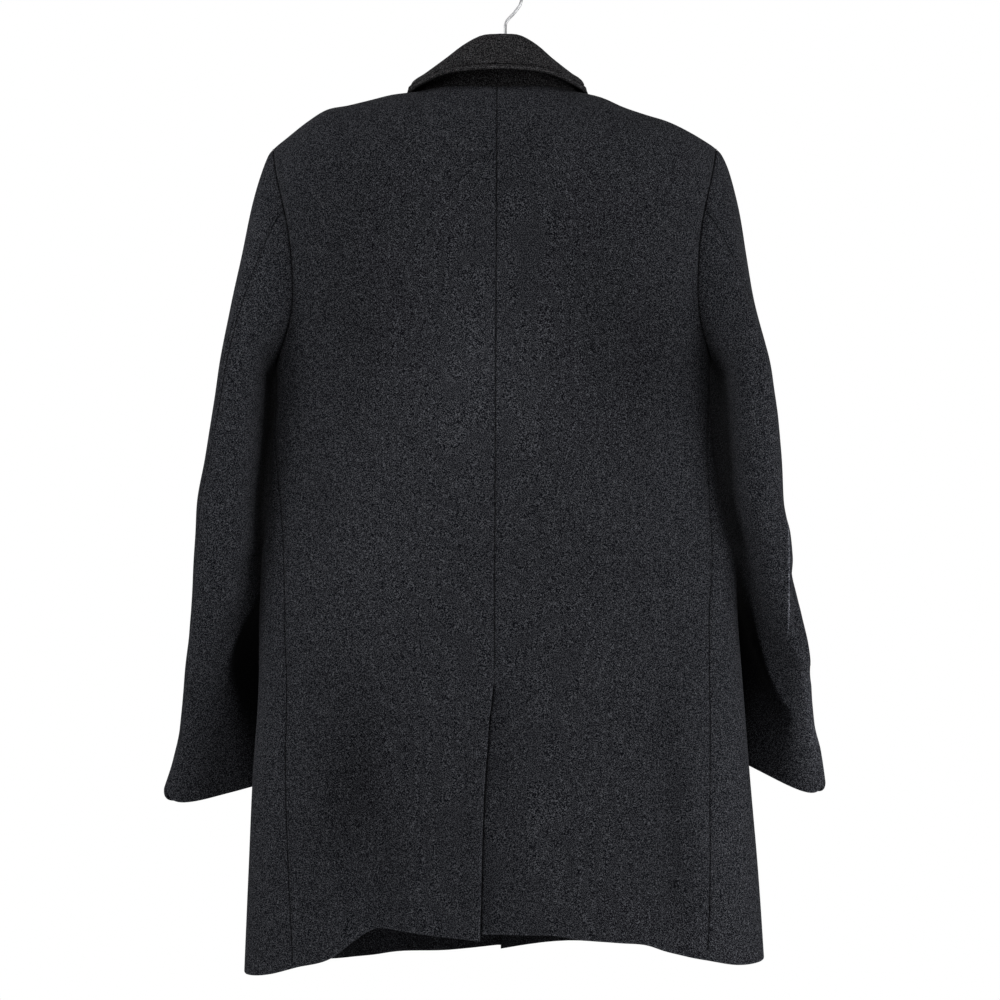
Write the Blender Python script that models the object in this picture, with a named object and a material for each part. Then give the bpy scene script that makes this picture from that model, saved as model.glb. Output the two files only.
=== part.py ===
"""A single car coat of heavy charcoal wool, hanging on a contoured hanger with a wire hook.

Every cut piece of cloth is a closed wall of its own. The wearer faces -Y, the wearer's left
is +X and the origin is the inside top of the hook, where a rail would carry the hanger.
"across" is a distance from the centre back line, "fore" is a distance in front of the
shoulder seams and "drop" is a distance below the nape, all in metres.
"""

import math

import bpy
import numpy as np

# Driving dimensions
CLOTH = 0.0026
SEAM_GAP = 0.0003
TURNED_EDGE = 0.0003
ARMHOLE_GAP = 0.0005
SLEEVE_SEAM_GAP = 0.00045
COLLAR_SEAM_GAP = 0.00045
NECK_HALF = 0.082
NAPE_RISE = 0.004
NECK_RISE = 0.0045
NECK_FRONT_DROP = 0.080
SHOULDER_ROUND = 0.090
SECTION_POWER = 2.6
SHOULDER_POINT_DROP = 0.0585
ARMHOLE_BOTTOM = 0.292
SEAM_FOOT_DROP = 0.930
CENTRE_HEM_DROP = 0.900
VENT_TOP = 0.625
VENT_UNDERLAP = 0.040
FRONT_OVERLAP = 0.030
FRONT_DRIFT = 0.034
LAP_FADE = (0.035, 0.080)
VENT_FADE = (0.005, 0.035)
VENT_STEP = (0.090, 0.020)
LAP_CLEARANCE = 0.0012
ROLL_RADIUS = 0.0060
BUTTON_RADIUS = 0.0125
BUTTON_THICKNESS = 0.0042
BUTTON_RIM = 0.0009
BUTTON_DROPS = (0.150, 0.275, 0.400, 0.525)
BUTTON_HOLE_RADIUS = 0.0011
BUTTON_HOLE_SPREAD = 0.0026
HANGER_REACH = 0.205
HANGER_HUMP = 0.034
HANGER_HUMP_FALL = 7.8
HANGER_CLEARANCE = 0.0030
RIDGE_STEP = 0.002
HOOK_ACROSS = -0.009
HOOK_RADIUS = 0.0175
HOOK_CENTRE_RISE = 0.1065
HOOK_WIRE_RADIUS = 0.0016
HOOK_STEM_RISES = (0.056, 0.074)
HOOK_BEND = ((-0.0008, 0.0800), (-0.0045, 0.0850), (-0.0084, 0.0888))

LEFT, RIGHT = 1, -1
SIDE_NAMES = {LEFT: "left", RIGHT: "right"}
ORIGIN = np.array([HOOK_ACROSS, 0.0, HOOK_CENTRE_RISE + HOOK_RADIUS - HOOK_WIRE_RADIUS])

# Grid sizes. The armhole rows are shared by the panels and the sleeve's first ring.
HANGER_SIDES = 12
BUTTON_SIDES, HOLE_SIDES, HOOK_SIDES = 24, 8, 8
ARMHOLE_ROWS, BODY_ROWS = 10, 13
NECK_COLUMNS, SHOULDER_COLUMNS = 8, 6
NECK_CROWDING = 1.5
ELBOW_ROW, FOREARM_ROW = 4, 14
SLEEVE_HEAD_RINGS = 8


def table(names, *rows):
    """A table with named columns, as one array for each column."""
    return dict(zip(names.split(), np.array(rows, float).T))


# Drop of the shoulder line at a distance from the centre, and of its run on over the neck
SHOULDER = table(
    "across left right",
    (0.000, -0.020, -0.020),
    (0.045, -0.0150, -0.0150),
    (0.082, -0.0045, -0.0045),
    (0.115, 0.000, 0.0035),
    (0.135, 0.005, 0.0125),
    (0.160, 0.011, 0.021),
    (0.185, 0.0160, 0.0285),
    (0.205, 0.0283, 0.0378),
    (0.230, 0.0475, 0.0520),
    (0.250, 0.0620, 0.0640),
)

# Half width of the body
BODY_WIDTH = table(
    "drop left right",
    (0.00, 0.246, 0.241),
    (0.06, 0.2435, 0.2385),
    (0.20, 0.240, 0.233),
    (0.31, 0.2386, 0.230),
    (0.39, 0.2455, 0.2355),
    (0.45, 0.249, 0.246),
    (0.50, 0.254, 0.257),
    (0.56, 0.257, 0.260),
    (0.65, 0.2585, 0.2668),
    (0.73, 0.264, 0.273),
    (0.84, 0.269, 0.2825),
    (0.96, 0.274, 0.2905),
)

# Depth of the body behind and in front of the shoulder seams
BODY_DEPTH = table(
    "drop back front",
    (0.00, 0.080, 0.070),
    (0.15, 0.088, 0.076),
    (0.35, 0.088, 0.078),
    (0.60, 0.080, 0.072),
    (0.96, 0.078, 0.076),
)

# Armhole, from the shoulder point (0) to its lowest point (1), as shares of the half width
ARMHOLE = table(
    "down back_left back_right front_left front_right",
    (0.00, 1.000, 1.000, 1.000, 1.000),
    (0.12, 0.985, 0.980, 0.965, 0.965),
    (0.30, 0.950, 0.947, 0.915, 0.915),
    (0.50, 0.917, 0.921, 0.880, 0.880),
    (0.70, 0.906, 0.918, 0.872, 0.872),
    (0.85, 0.920, 0.935, 0.900, 0.900),
    (0.95, 0.965, 0.972, 0.960, 0.960),
    (1.00, 1.000, 1.000, 1.000, 1.000),
)

# Side-back seam below the armhole, as shares of the half width
SIDE_SEAM = table(
    "drop left right",
    (0.292, 1.000, 1.000),
    (0.350, 0.985, 0.985),
    (0.420, 0.945, 0.945),
    (0.500, 0.893, 0.890),
    (0.600, 0.872, 0.857),
    (0.700, 0.855, 0.835),
    (0.800, 0.832, 0.810),
    (0.960, 0.780, 0.763),
)

# Hem, from the centre back (0) past the side (1) to the centre front (2)
HEM = table(
    "place left right",
    (0.00, 0.900, 0.894),
    (0.18, 0.897, 0.894),
    (0.30, 0.893, 0.899),
    (0.45, 0.889, 0.903),
    (0.55, 0.901, 0.906),
    (0.64, 0.920, 0.916),
    (0.78, 0.932, 0.925),
    (0.89, 0.942, 0.932),
    (1.00, 0.948, 0.933),
    (1.33, 0.949, 0.932),
    (1.57, 0.943, 0.931),
    (1.82, 0.942, 0.933),
    (2.00, 0.937, 0.941),
)

# Edge of the vent's over-flap, drawn back towards the wearer's left
VENT_EDGE = table(
    "drop across",
    (0.560, 0.0000),
    (0.630, 0.0015),
    (0.690, 0.0095),
    (0.750, 0.0137),
    (0.840, 0.0165),
    (0.900, 0.0180),
)

# The largest folds of the body: soft troughs that run down to the hem
BODY_FOLDS = table(
    "side face across_top across_bottom drop_top drop_bottom width depth",
    (LEFT, 1, 0.112, 0.126, 0.700, 0.900, 0.017, 0.0100),
    (RIGHT, 1, 0.176, 0.188, 0.560, 0.960, 0.016, 0.0060),
    (LEFT, -1, 0.120, 0.136, 0.520, 0.960, 0.020, 0.0070),
    (RIGHT, -1, 0.128, 0.110, 0.600, 0.960, 0.018, 0.0060),
)

# Hanging sleeves, one ring for each row. "long" and "thin" are half sizes of the flat tube,
# "turn" turns its long way from fore and aft towards crosswise, "rise" is the slope up to its
# front end, "lean" draws the front end in before the body, "tip" lifts the back end and
# "elbow" is the place of the elbow seam, in degrees from the outer middle towards the back.
SLEEVES = {
    LEFT: table(
        "drop across fore long thin turn rise lean tip elbow",
        (0.310, 0.2710, 0.000, 0.084, 0.0245, 3, 0.00, 0.016, 0.000, 66),
        (0.350, 0.2755, 0.002, 0.083, 0.0270, 3, 0.00, 0.018, 0.000, 62),
        (0.395, 0.2815, 0.004, 0.082, 0.0290, 3, 0.00, 0.018, 0.000, 58),
        (0.440, 0.2870, 0.008, 0.080, 0.0310, 4, 0.00, 0.016, 0.000, 54),
        (0.480, 0.2880, 0.012, 0.079, 0.0315, 6, 0.00, 0.012, 0.000, 52),
        (0.520, 0.2890, 0.018, 0.078, 0.0310, 10, 0.00, 0.008, 0.000, 52),
        (0.560, 0.2880, 0.024, 0.077, 0.0265, 19, 0.02, 0.004, 0.000, 54),
        (0.600, 0.2860, 0.030, 0.077, 0.0215, 30, 0.04, 0.000, 0.000, 56),
        (0.640, 0.2825, 0.036, 0.076, 0.0180, 42, 0.06, 0.000, 0.000, 58),
        (0.680, 0.2815, 0.040, 0.076, 0.0170, 51, 0.08, 0.000, 0.002, 60),
        (0.715, 0.2865, 0.043, 0.076, 0.0175, 57, 0.13, 0.000, 0.008, 62),
        (0.7585, 0.2955, 0.046, 0.076, 0.0180, 62, 0.19, 0.000, 0.022, 64),
    ),
    RIGHT: table(
        "drop across fore long thin turn rise lean tip elbow",
        (0.310, 0.2665, 0.000, 0.084, 0.0240, 3, 0.00, 0.022, 0.000, 38),
        (0.350, 0.2710, 0.002, 0.083, 0.0260, 3, 0.00, 0.026, 0.000, 38),
        (0.395, 0.2750, 0.004, 0.082, 0.0270, 3, 0.00, 0.027, 0.000, 40),
        (0.440, 0.2780, 0.008, 0.080, 0.0265, 4, 0.00, 0.024, 0.000, 42),
        (0.480, 0.2835, 0.012, 0.079, 0.0240, 6, 0.00, 0.018, 0.000, 44),
        (0.520, 0.2860, 0.018, 0.078, 0.0225, 11, 0.00, 0.012, 0.000, 46),
        (0.560, 0.2885, 0.024, 0.077, 0.0210, 20, 0.03, 0.006, 0.000, 50),
        (0.600, 0.2880, 0.030, 0.077, 0.0180, 32, 0.07, 0.000, 0.000, 54),
        (0.640, 0.2825, 0.036, 0.076, 0.0140, 45, 0.11, 0.000, 0.000, 58),
        (0.670, 0.2815, 0.040, 0.076, 0.0125, 53, 0.16, 0.000, 0.002, 60),
        (0.698, 0.2868, 0.045, 0.076, 0.0150, 58, 0.29, 0.000, 0.010, 62),
        (0.7340, 0.2905, 0.050, 0.076, 0.0175, 62, 0.42, 0.000, 0.022, 64),
    ),
}
SLEEVE_POWER = 3.2
HEAD_OUT = {LEFT: 0.084, RIGHT: 0.102}
HEAD_DOWN, HEAD_ARRIVE = 0.105, 0.38
FOREARM_SEAM = 265

# Crest and lower edge of the collar at a turn round the neck, in degrees from the centre back.
# "facing" is the way in which it rolls over there, in degrees too.
COLLAR = table(
    "turn facing crest_up crest_out edge_up edge_across edge_fore",
    (0, 0, 0.0525, -0.001, 0.0155, 0.0000, -0.0700),
    (13, 13, 0.0512, -0.001, 0.0150, 0.0210, -0.0690),
    (26, 26, 0.0414, 0.000, 0.0140, 0.0410, -0.0650),
    (39, 40, 0.0286, 0.000, 0.0120, 0.0590, -0.0560),
    (60, 64, 0.0160, 0.000, 0.0078, 0.0805, -0.0380),
    (75, 78, 0.0135, 0.000, 0.0068, 0.0900, -0.0200),
    (90, 90, 0.0120, 0.001, 0.0060, 0.0965, 0.0000),
    (94, 93, 0.0120, 0.001, 0.0010, 0.1020, 0.0250),
    (103, 100, 0.0125, 0.001, -0.0120, 0.1080, 0.0440),
    (120, 125, 0.0135, 0.001, -0.0400, 0.1090, 0.0600),
    (150, 155, 0.0160, 0.001, -0.0860, 0.0800, 0.0770),
    (175, 178, 0.0160, 0.001, -0.1320, 0.0420, 0.0800),
)
STAND_ROWS, FALL_ROWS = 6, 7
COLLAR_CLEARANCE = 0.0014
COLLAR_LEAN, COLLAR_LEAN_START = -0.085, 0.009

# Hanger arm at a distance from its middle
HANGER = table(
    "reach height thickness",
    (0.000, 0.030, 0.012),
    (0.080, 0.024, 0.013),
    (0.150, 0.024, 0.020),
    (0.190, 0.026, 0.026),
    (0.205, 0.018, 0.016),
)


def lookup(rows, key, column, at):
    """A smooth curve through one column, read at the given values of the key column."""
    knots, values = rows[key], rows[column]
    slopes = np.gradient(values, knots)
    steps = np.diff(values) / np.diff(knots)
    turning = np.zeros(len(knots), bool)
    turning[1:-1] = steps[:-1] * steps[1:] <= 0
    slopes[turning] = 0
    at = np.clip(np.asarray(at, float), knots[0], knots[-1])
    index = np.clip(np.searchsorted(knots, at, side="right") - 1, 0, len(knots) - 2)
    span = knots[index + 1] - knots[index]
    share = (at - knots[index]) / span
    start = (1 + 2 * share) * (1 - share) ** 2 * values[index]
    end = share**2 * (3 - 2 * share) * values[index + 1]
    leave = share * (1 - share) ** 2 * span * slopes[index]
    arrive = share**2 * (share - 1) * span * slopes[index + 1]
    return start + end + leave + arrive


def ease(value, start, end):
    """0 before the start, 1 past the end, and a smooth step between them."""
    share = np.clip((value - start) / (end - start), 0, 1)
    return share * share * (3 - 2 * share)


def unit(vectors):
    """The vectors at a length of 1."""
    return vectors / np.maximum(np.linalg.norm(vectors, axis=-1, keepdims=True), 1e-12)


def place(across, fore, drop):
    """World points, in the coat's own frame, before the hook is made the origin."""
    across, fore, drop = np.broadcast_arrays(across, fore, drop)
    return np.stack([across, -fore, -drop], axis=-1).astype(float)


def section_radius(angle, power=SECTION_POWER):
    """Radius of the unit section: a circle drawn out towards its square."""
    return (np.abs(np.sin(angle)) ** power + np.abs(np.cos(angle)) ** power) ** (-1 / power)


def side_angle(share):
    """Angle from the centre back at which the section reaches this share of its half width."""
    share = np.clip(share, -1, 1)
    return np.arctan2(share, (1 - np.abs(share) ** SECTION_POWER) ** (1 / SECTION_POWER))


def neck_drop(across, front):
    """Drop of the neck edge: shallow behind, a quarter of an ellipse in front."""
    share = np.clip(across / NECK_HALF, 0, 1)
    back = -NAPE_RISE - (NECK_RISE - NAPE_RISE) * share**2
    return np.where(front, (NECK_FRONT_DROP + NECK_RISE) * np.sqrt(1 - share**2) - NECK_RISE, back)


def ridge_drop(side, across):
    """Drop of the line along the top of the body, which the shoulder seams follow."""
    return lookup(SHOULDER, "across", SIDE_NAMES[side], across)


def fold_depth(side, across, fore, drop):
    """How far the folds draw the wall inwards."""
    depth = np.zeros(np.shape(across))
    for row in range(len(BODY_FOLDS["side"])):
        fold = {name: column[row] for name, column in BODY_FOLDS.items()}
        if fold["side"] != side:
            continue
        share = (drop - fold["drop_top"]) / (fold["drop_bottom"] - fold["drop_top"])
        middle = fold["across_top"] + share * (fold["across_bottom"] - fold["across_top"])
        profile = np.exp(-(((across - middle) / fold["width"]) ** 2))
        on_face = ease(-fore * fold["face"], 0.0, 0.03)
        depth = depth + fold["depth"] * profile * ease(share, 0.0, 0.8) * on_face
    return depth


def lap_depth(side, front, across, drop):
    """How far the vent's under-flap and the two fronts lie in from the plain section."""
    step = CLOTH + LAP_CLEARANCE
    fronts = -side * 0.5 * step * (1 - ease(across, *LAP_FADE))
    vent = step * (1 - ease(across, *VENT_FADE))
    start, end = (VENT_TOP - above for above in VENT_STEP)
    vent = vent * ease(drop, start, end) * (side == RIGHT)
    return np.where(front, fronts, vent)


def body_point(side, angle, row):
    """A point of the body's outer surface at an angle round it and a share of the way to the hem.

    The section is x = half width * r * sin(angle), y = depth * r * cos(angle), with r the
    unit section's radius. Below the line along the top, the depth grows as a quarter of an
    ellipse does, so the cloth rounds over the hanger. The rows start at the neck edge near
    the centre and at the shoulder seam past it.
    """
    front = np.cos(angle) < 0
    sine, radius = np.sin(angle), section_radius(angle)
    hem = hem_drop(side, angle)
    drop = row * hem
    for _ in range(6):
        across = lookup(BODY_WIDTH, "drop", SIDE_NAMES[side], drop) * radius * sine
        ridge = ridge_drop(side, across)
        top = np.where(across < NECK_HALF, neck_drop(across, front), ridge)
        drop = top + row * (hem - top)
    back_depth = lookup(BODY_DEPTH, "drop", "back", drop)
    front_depth = lookup(BODY_DEPTH, "drop", "front", drop)
    full = np.sqrt(1 - (1 - np.clip((drop - ridge) / SHOULDER_ROUND, 0, 1)) ** 2)
    fore = -np.where(front, front_depth, back_depth) * radius * np.cos(angle) * full
    inwards = fold_depth(side, across, fore, drop) * full
    inwards = inwards + lap_depth(side, front, across, drop)
    fore = fore + np.where(front, -1, 1) * inwards
    return place(side * across, fore, drop)


def body_normal(side, angle, row):
    """The outward normal of the body's surface, from its two directions."""
    step = 1e-3
    along = body_point(side, angle + step, row) - body_point(side, angle - step, row)
    down = body_point(side, angle, row + step) - body_point(side, angle, row)
    return unit(np.cross(along, down)) * side


def hem_drop(side, angle):
    """Drop of the hem at an angle round the body."""
    share = section_radius(angle) * np.sin(angle)
    return lookup(HEM, "place", SIDE_NAMES[side], np.where(np.cos(angle) < 0, 2 - share, share))


def panel_rows():
    """Shares of the way down, closer near both ends of the armhole, which ends at ARMHOLE_ROWS."""
    bottom = (ARMHOLE_BOTTOM - SHOULDER_POINT_DROP) / (SEAM_FOOT_DROP - SHOULDER_POINT_DROP)
    armhole = bottom * (1 - np.cos(math.pi * np.arange(ARMHOLE_ROWS) / ARMHOLE_ROWS)) / 2
    body = bottom + (1 - bottom) * np.arange(BODY_ROWS + 1) / BODY_ROWS
    return np.concatenate([armhole, body])


def outer_edge(side, face, rows):
    """Angles of the edge that runs down the armhole and then down the side-back seam."""
    name = SIDE_NAMES[side]
    drop = SHOULDER_POINT_DROP + rows * (SEAM_FOOT_DROP - SHOULDER_POINT_DROP)
    down = (drop - SHOULDER_POINT_DROP) / (ARMHOLE_BOTTOM - SHOULDER_POINT_DROP)
    armhole = side_angle(lookup(ARMHOLE, "down", f"{face}_{name}", down))
    if face == "front":
        armhole = math.pi - armhole
    seam = side_angle(lookup(SIDE_SEAM, "drop", name, drop))
    return np.where(drop < ARMHOLE_BOTTOM, armhole, seam)


def centre_edge(side, face, rows):
    """Angles of the edge at the centre back or the centre front.

    Below the last button the right front's edge drifts back to its own side.
    """
    half = lookup(BODY_WIDTH, "drop", SIDE_NAMES[side], rows)
    drop = rows * CENTRE_HEM_DROP
    if face == "front":
        drift = FRONT_DRIFT * ease(drop, BUTTON_DROPS[-1], CENTRE_HEM_DROP) * (side == RIGHT)
        return math.pi + side_angle((FRONT_OVERLAP - drift) / half)
    if side == LEFT:
        across = SEAM_GAP / 2 + lookup(VENT_EDGE, "drop", "across", drop)
    else:
        across = SEAM_GAP / 2 - VENT_UNDERLAP * ease(drop, VENT_TOP, VENT_TOP + 0.03)
    return side_angle(across / half)


def neck_turns(front):
    """Turns round the neck, from the centre, at which the panels and the collar have columns."""
    share = np.arange(NECK_COLUMNS + 1) / NECK_COLUMNS
    if not front:
        return math.pi / 2 * share
    turns = math.pi / 2 * (1 - (1 - share) ** NECK_CROWDING)
    return np.insert(turns, 1, math.pi - math.radians(COLLAR["turn"][-1]))


def column_shares(side, face):
    """Shares of the way from the centre edge to the outer edge, in step with the neck's turns."""
    half = float(lookup(BODY_WIDTH, "drop", SIDE_NAMES[side], 0.0))
    neck = side_angle(NECK_HALF * np.sin(neck_turns(face == "front")) / half)
    shoulder = np.linspace(neck[-1], math.pi / 2, SHOULDER_COLUMNS + 1)[1:]
    angles = np.concatenate([neck, shoulder])
    if face == "front":
        overlap = side_angle(-FRONT_OVERLAP / half)
        angles = np.concatenate([[overlap, overlap / 2], angles])
    return ((angles - angles[0]) / (angles[-1] - angles[0]))[None, :]


def body_panel(side, face):
    """Outer points and inward-pointing wall of one back or front panel."""
    rows = panel_rows()[:, None]
    start, end = centre_edge(side, face, rows), outer_edge(side, face, rows)
    angle = start + (end - start) * column_shares(side, face)
    rows = np.broadcast_to(rows, angle.shape)
    points = body_point(side, angle, rows)
    normals = body_normal(side, angle, rows)
    normals[:, 0, 0] = 0
    shoulder = np.abs(points[0, :, 0]) > NECK_HALF - 1e-4
    normals[0, shoulder, 1] = 0
    points[0, :, 1] += SEAM_GAP / 2 if face == "back" else -SEAM_GAP / 2
    seam = points[ARMHOLE_ROWS:]
    seam[:, -1] += unit(seam[:, -2] - seam[:, -1]) * TURNED_EDGE
    return points, unit(normals)


def armhole_loop(side):
    """Points round the armhole, from the shoulder point over the back, in the sleeve's order."""
    rows = panel_rows()[: ARMHOLE_ROWS + 1]
    back, front = (body_point(side, outer_edge(side, face, rows), rows) for face in ("back", "front"))
    return np.concatenate([back, front[-2:0:-1]])


def sleeve_ring(side, row, angles):
    """A ring of the hanging sleeve: an oval in its own flat frame, turned about the arm."""
    ring = {name: column[row] for name, column in SLEEVES[side].items()}
    turn = math.radians(ring["turn"])
    radius = section_radius(angles, SLEEVE_POWER)
    out = ring["thin"] * radius * np.cos(angles)
    back = ring["long"] * radius * np.sin(angles)
    across = ring["across"] + out * math.cos(turn) + back * math.sin(turn)
    across = across - ring["lean"] * np.clip(-np.sin(angles), 0, 1) ** 2
    fore = ring["fore"] + out * math.sin(turn) - back * math.cos(turn)
    lift = ring["tip"] * np.clip(np.sin(angles), 0, 1) ** 6
    return place(side * across, fore, ring["drop"] + ring["rise"] * back - lift)


def ring_angles(side, row):
    """Angles of a ring's points, evenly spaced between the elbow and the forearm seams."""
    elbow = math.radians(SLEEVES[side]["elbow"][row])
    forearm = math.radians(FOREARM_SEAM)
    points = 2 * ARMHOLE_ROWS
    over = np.linspace(forearm - math.tau, elbow, ELBOW_ROW + points - FOREARM_ROW + 1)
    under = np.linspace(elbow, forearm, FOREARM_ROW - ELBOW_ROW + 1)
    return np.concatenate([over[points - FOREARM_ROW :], under[1:-1], over[: points - FOREARM_ROW]])


def sleeve_grid(side):
    """Outer points of a whole sleeve, ring by ring, and its outward normals."""
    armhole = armhole_loop(side) + np.array([side * ARMHOLE_GAP, 0, 0])
    hanging = [
        sleeve_ring(side, row, ring_angles(side, row)) for row in range(len(SLEEVES[side]["drop"]))
    ]
    reach = np.linalg.norm(hanging[0] - armhole, axis=1, keepdims=True)
    leave = armhole + np.array([side * HEAD_OUT[side], 0, -HEAD_DOWN]) * reach
    arrive = hanging[0] + unit(hanging[0] - hanging[1]) * HEAD_ARRIVE * reach
    rings = []
    for share in np.linspace(0, 1, SLEEVE_HEAD_RINGS, endpoint=False):
        rest = 1 - share
        first = armhole * rest**3 + 3 * leave * share * rest**2
        rings.append(first + 3 * arrive * share**2 * rest + hanging[0] * share**3)
    points = np.array(rings + hanging)
    around = np.roll(points, -1, axis=1) - np.roll(points, 1, axis=1)
    normals = unit(np.cross(np.gradient(points, axis=0), around)) * side
    normals[0, :, 0] = 0
    return points, unit(normals)


def sleeve_pieces(side):
    """The top sleeve and the under sleeve, parted along the elbow and forearm seams."""
    points, normals = sleeve_grid(side)
    count = points.shape[1]
    over = np.arange(FOREARM_ROW - count, ELBOW_ROW + 1) % count
    under = np.arange(ELBOW_ROW, FOREARM_ROW + 1)
    pieces = {}
    for name, columns in (("top", over), ("under", under)):
        piece = points[:, columns].copy()
        for edge, inner in ((0, 1), (-1, -2)):
            piece[:, edge] += unit(piece[:, inner] - piece[:, edge]) * SLEEVE_SEAM_GAP
        pieces[name] = (piece, normals[:, columns])
    return pieces


def clear_of_body(side, point):
    """The same point, moved out where it lies in the cloth that rounds over the shoulders.

    At one distance across, that cloth is a quarter of an ellipse in fore and drop. The point
    is scaled away from the ellipse's centre until it lies on a larger one.
    """
    across, fore, drop = point
    half = float(lookup(BODY_WIDTH, "drop", SIDE_NAMES[side], drop))
    depth = float(lookup(BODY_DEPTH, "drop", "front" if fore > 0 else "back", drop))
    depth *= (1 - min(across / half, 0.99) ** SECTION_POWER) ** (1 / SECTION_POWER)
    centre = float(ridge_drop(side, across)) + SHOULDER_ROUND
    room = CLOTH + COLLAR_CLEARANCE
    out = fore / (depth + room)
    up = max(centre - drop, 0) / (SHOULDER_ROUND + room)
    scale = 1 / min(math.hypot(out, up), 1)
    if scale > 1:
        fore = (depth + room) * out * scale
        drop -= (SHOULDER_ROUND + room) * up * (scale - 1)
    return np.array([across, fore, drop])


def neck_point(side, degrees):
    """Across, fore and drop of the neck edge at a turn from the centre back."""
    across = NECK_HALF * math.sin(math.radians(degrees))
    front = degrees > 90
    half = float(lookup(BODY_WIDTH, "drop", SIDE_NAMES[side], float(neck_drop(across, front))))
    angle = float(side_angle(across / half))
    point = body_point(side, np.array([math.pi - angle if front else angle]), np.zeros(1))[0]
    return np.array([abs(point[0]), -point[1], -point[2]])


def collar_profile(turn):
    """Points of the collar's visible side at one turn: up the stand, over the crest, down the fall.

    Both halves are quadratic curves whose middle control point lies level with the crest.
    """
    side = LEFT if turn >= 0 else RIGHT
    degrees = abs(turn)
    neck = neck_point(side, degrees)
    values = {name: float(lookup(COLLAR, "turn", name, degrees)) for name in COLLAR}
    towards = math.radians(values["facing"])
    outwards = np.array([math.sin(towards), -math.cos(towards), 0.0])
    neck[2] -= COLLAR_SEAM_GAP
    up = np.array([0.0, 0.0, -1.0])
    stand = neck + outwards * values["crest_out"] + up * values["crest_up"]
    crest = stand + outwards * ROLL_RADIUS
    over = crest + outwards * ROLL_RADIUS
    edge = np.array([values["edge_across"], values["edge_fore"], -values["edge_up"]])
    rise = np.linspace(0, 1, STAND_ROWS)[:, None]
    fall = np.linspace(0, 1, FALL_ROWS)[1:, None]
    first = neck * (1 - rise) ** 2 + 2 * stand * rise * (1 - rise) + crest * rise**2
    second = crest * (1 - fall) ** 2 + 2 * over * fall * (1 - fall) + edge * fall**2
    second = np.array([clear_of_body(side, point) for point in second])
    profile = np.concatenate([first, second])
    lean = COLLAR_LEAN * np.maximum(-profile[:, 2] - COLLAR_LEAN_START, 0)
    return place(side * profile[:, 0] + lean, profile[:, 1], profile[:, 2])


def collar_grid():
    """Points and normals of the collar, one column for each turn round the neck."""
    back, front = np.degrees(neck_turns(False)), 180 - np.degrees(neck_turns(True))
    half = np.concatenate([back, front[-2:0:-1]])
    turns = np.concatenate([-half[:0:-1], half])
    points = np.stack([collar_profile(turn) for turn in turns], axis=1)
    along, up = np.gradient(points, axis=1), np.gradient(points, axis=0)
    return points, unit(np.cross(along, up))


def grid_faces(rows, columns):
    """Quads of a closed wall: an outer grid, an inner grid and the rim that joins them."""
    index = np.arange(rows * columns).reshape(rows, columns)
    corners = index[:-1, :-1], index[:-1, 1:], index[1:, 1:], index[1:, :-1]
    outer = np.stack(corners, axis=-1).reshape(-1, 4)
    rim = np.concatenate([index[0, :-1], index[:-1, -1], index[-1, :0:-1], index[:0:-1, 0]])
    after = np.roll(rim, -1)
    inner = outer[:, ::-1] + rows * columns
    rim_faces = np.stack([after, rim, rim + rows * columns, after + rows * columns], axis=-1)
    return np.concatenate([outer, inner, rim_faces])


def signed_volume(points, faces):
    """Six times the volume that the quads enclose, positive when they face outwards."""
    first, second, third, fourth = (points[faces[:, corner]] for corner in range(4))
    halves = np.cross(second, third) + np.cross(third, fourth)
    return float((first * halves).sum())


def material(name, colour, roughness, metallic=0.0):
    """A plain Principled material."""
    made = bpy.data.materials.new(name)
    made.use_nodes = True
    shader = made.node_tree.nodes["Principled BSDF"]
    shader.inputs["Base Color"].default_value = (*colour, 1.0)
    shader.inputs["Roughness"].default_value = roughness
    shader.inputs["Metallic"].default_value = metallic
    return made


def add_object(name, mesh, finish, smooth_degrees=40):
    """An object of this mesh, placed so that the hook's inside top is the origin."""
    mesh.materials.append(finish)
    mesh.shade_smooth()
    mesh.set_sharp_from_angle(angle=math.radians(smooth_degrees))
    made = bpy.data.objects.new(name, mesh)
    made.location = -ORIGIN
    bpy.context.scene.collection.objects.link(made)
    return made


def add_wall(name, points, normals, finish):
    """A cloth wall: its outer points, and the same points moved in by the cloth's thickness."""
    rows, columns = points.shape[:2]
    inner = points - normals * CLOTH
    corners = np.concatenate([points.reshape(-1, 3), inner.reshape(-1, 3)])
    faces = grid_faces(rows, columns)
    if signed_volume(corners, faces) < 0:
        faces = faces[:, ::-1]
    mesh = bpy.data.meshes.new(name)
    mesh.from_pydata(corners.tolist(), [], faces.tolist())
    return add_object(name, mesh, finish)


def add_tube(name, rings, finish):
    """A solid through closed rings of points, with flat ends."""
    count, sides = rings.shape[:2]
    index = np.arange(count * sides).reshape(count, sides)
    after = np.roll(index, -1, axis=1)
    quads = np.stack([index[:-1], after[:-1], after[1:], index[1:]], axis=-1).reshape(-1, 4)
    corners = rings.reshape(-1, 3)
    ends = [index[0, ::-1].tolist(), index[-1].tolist()]
    middle = corners.mean(axis=0)
    if signed_volume(corners - middle, quads) < 0:
        quads = quads[:, ::-1]
        ends = [end[::-1] for end in ends]
    mesh = bpy.data.meshes.new(name)
    mesh.from_pydata(corners.tolist(), [], quads.tolist() + ends)
    return add_object(name, mesh, finish)


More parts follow.
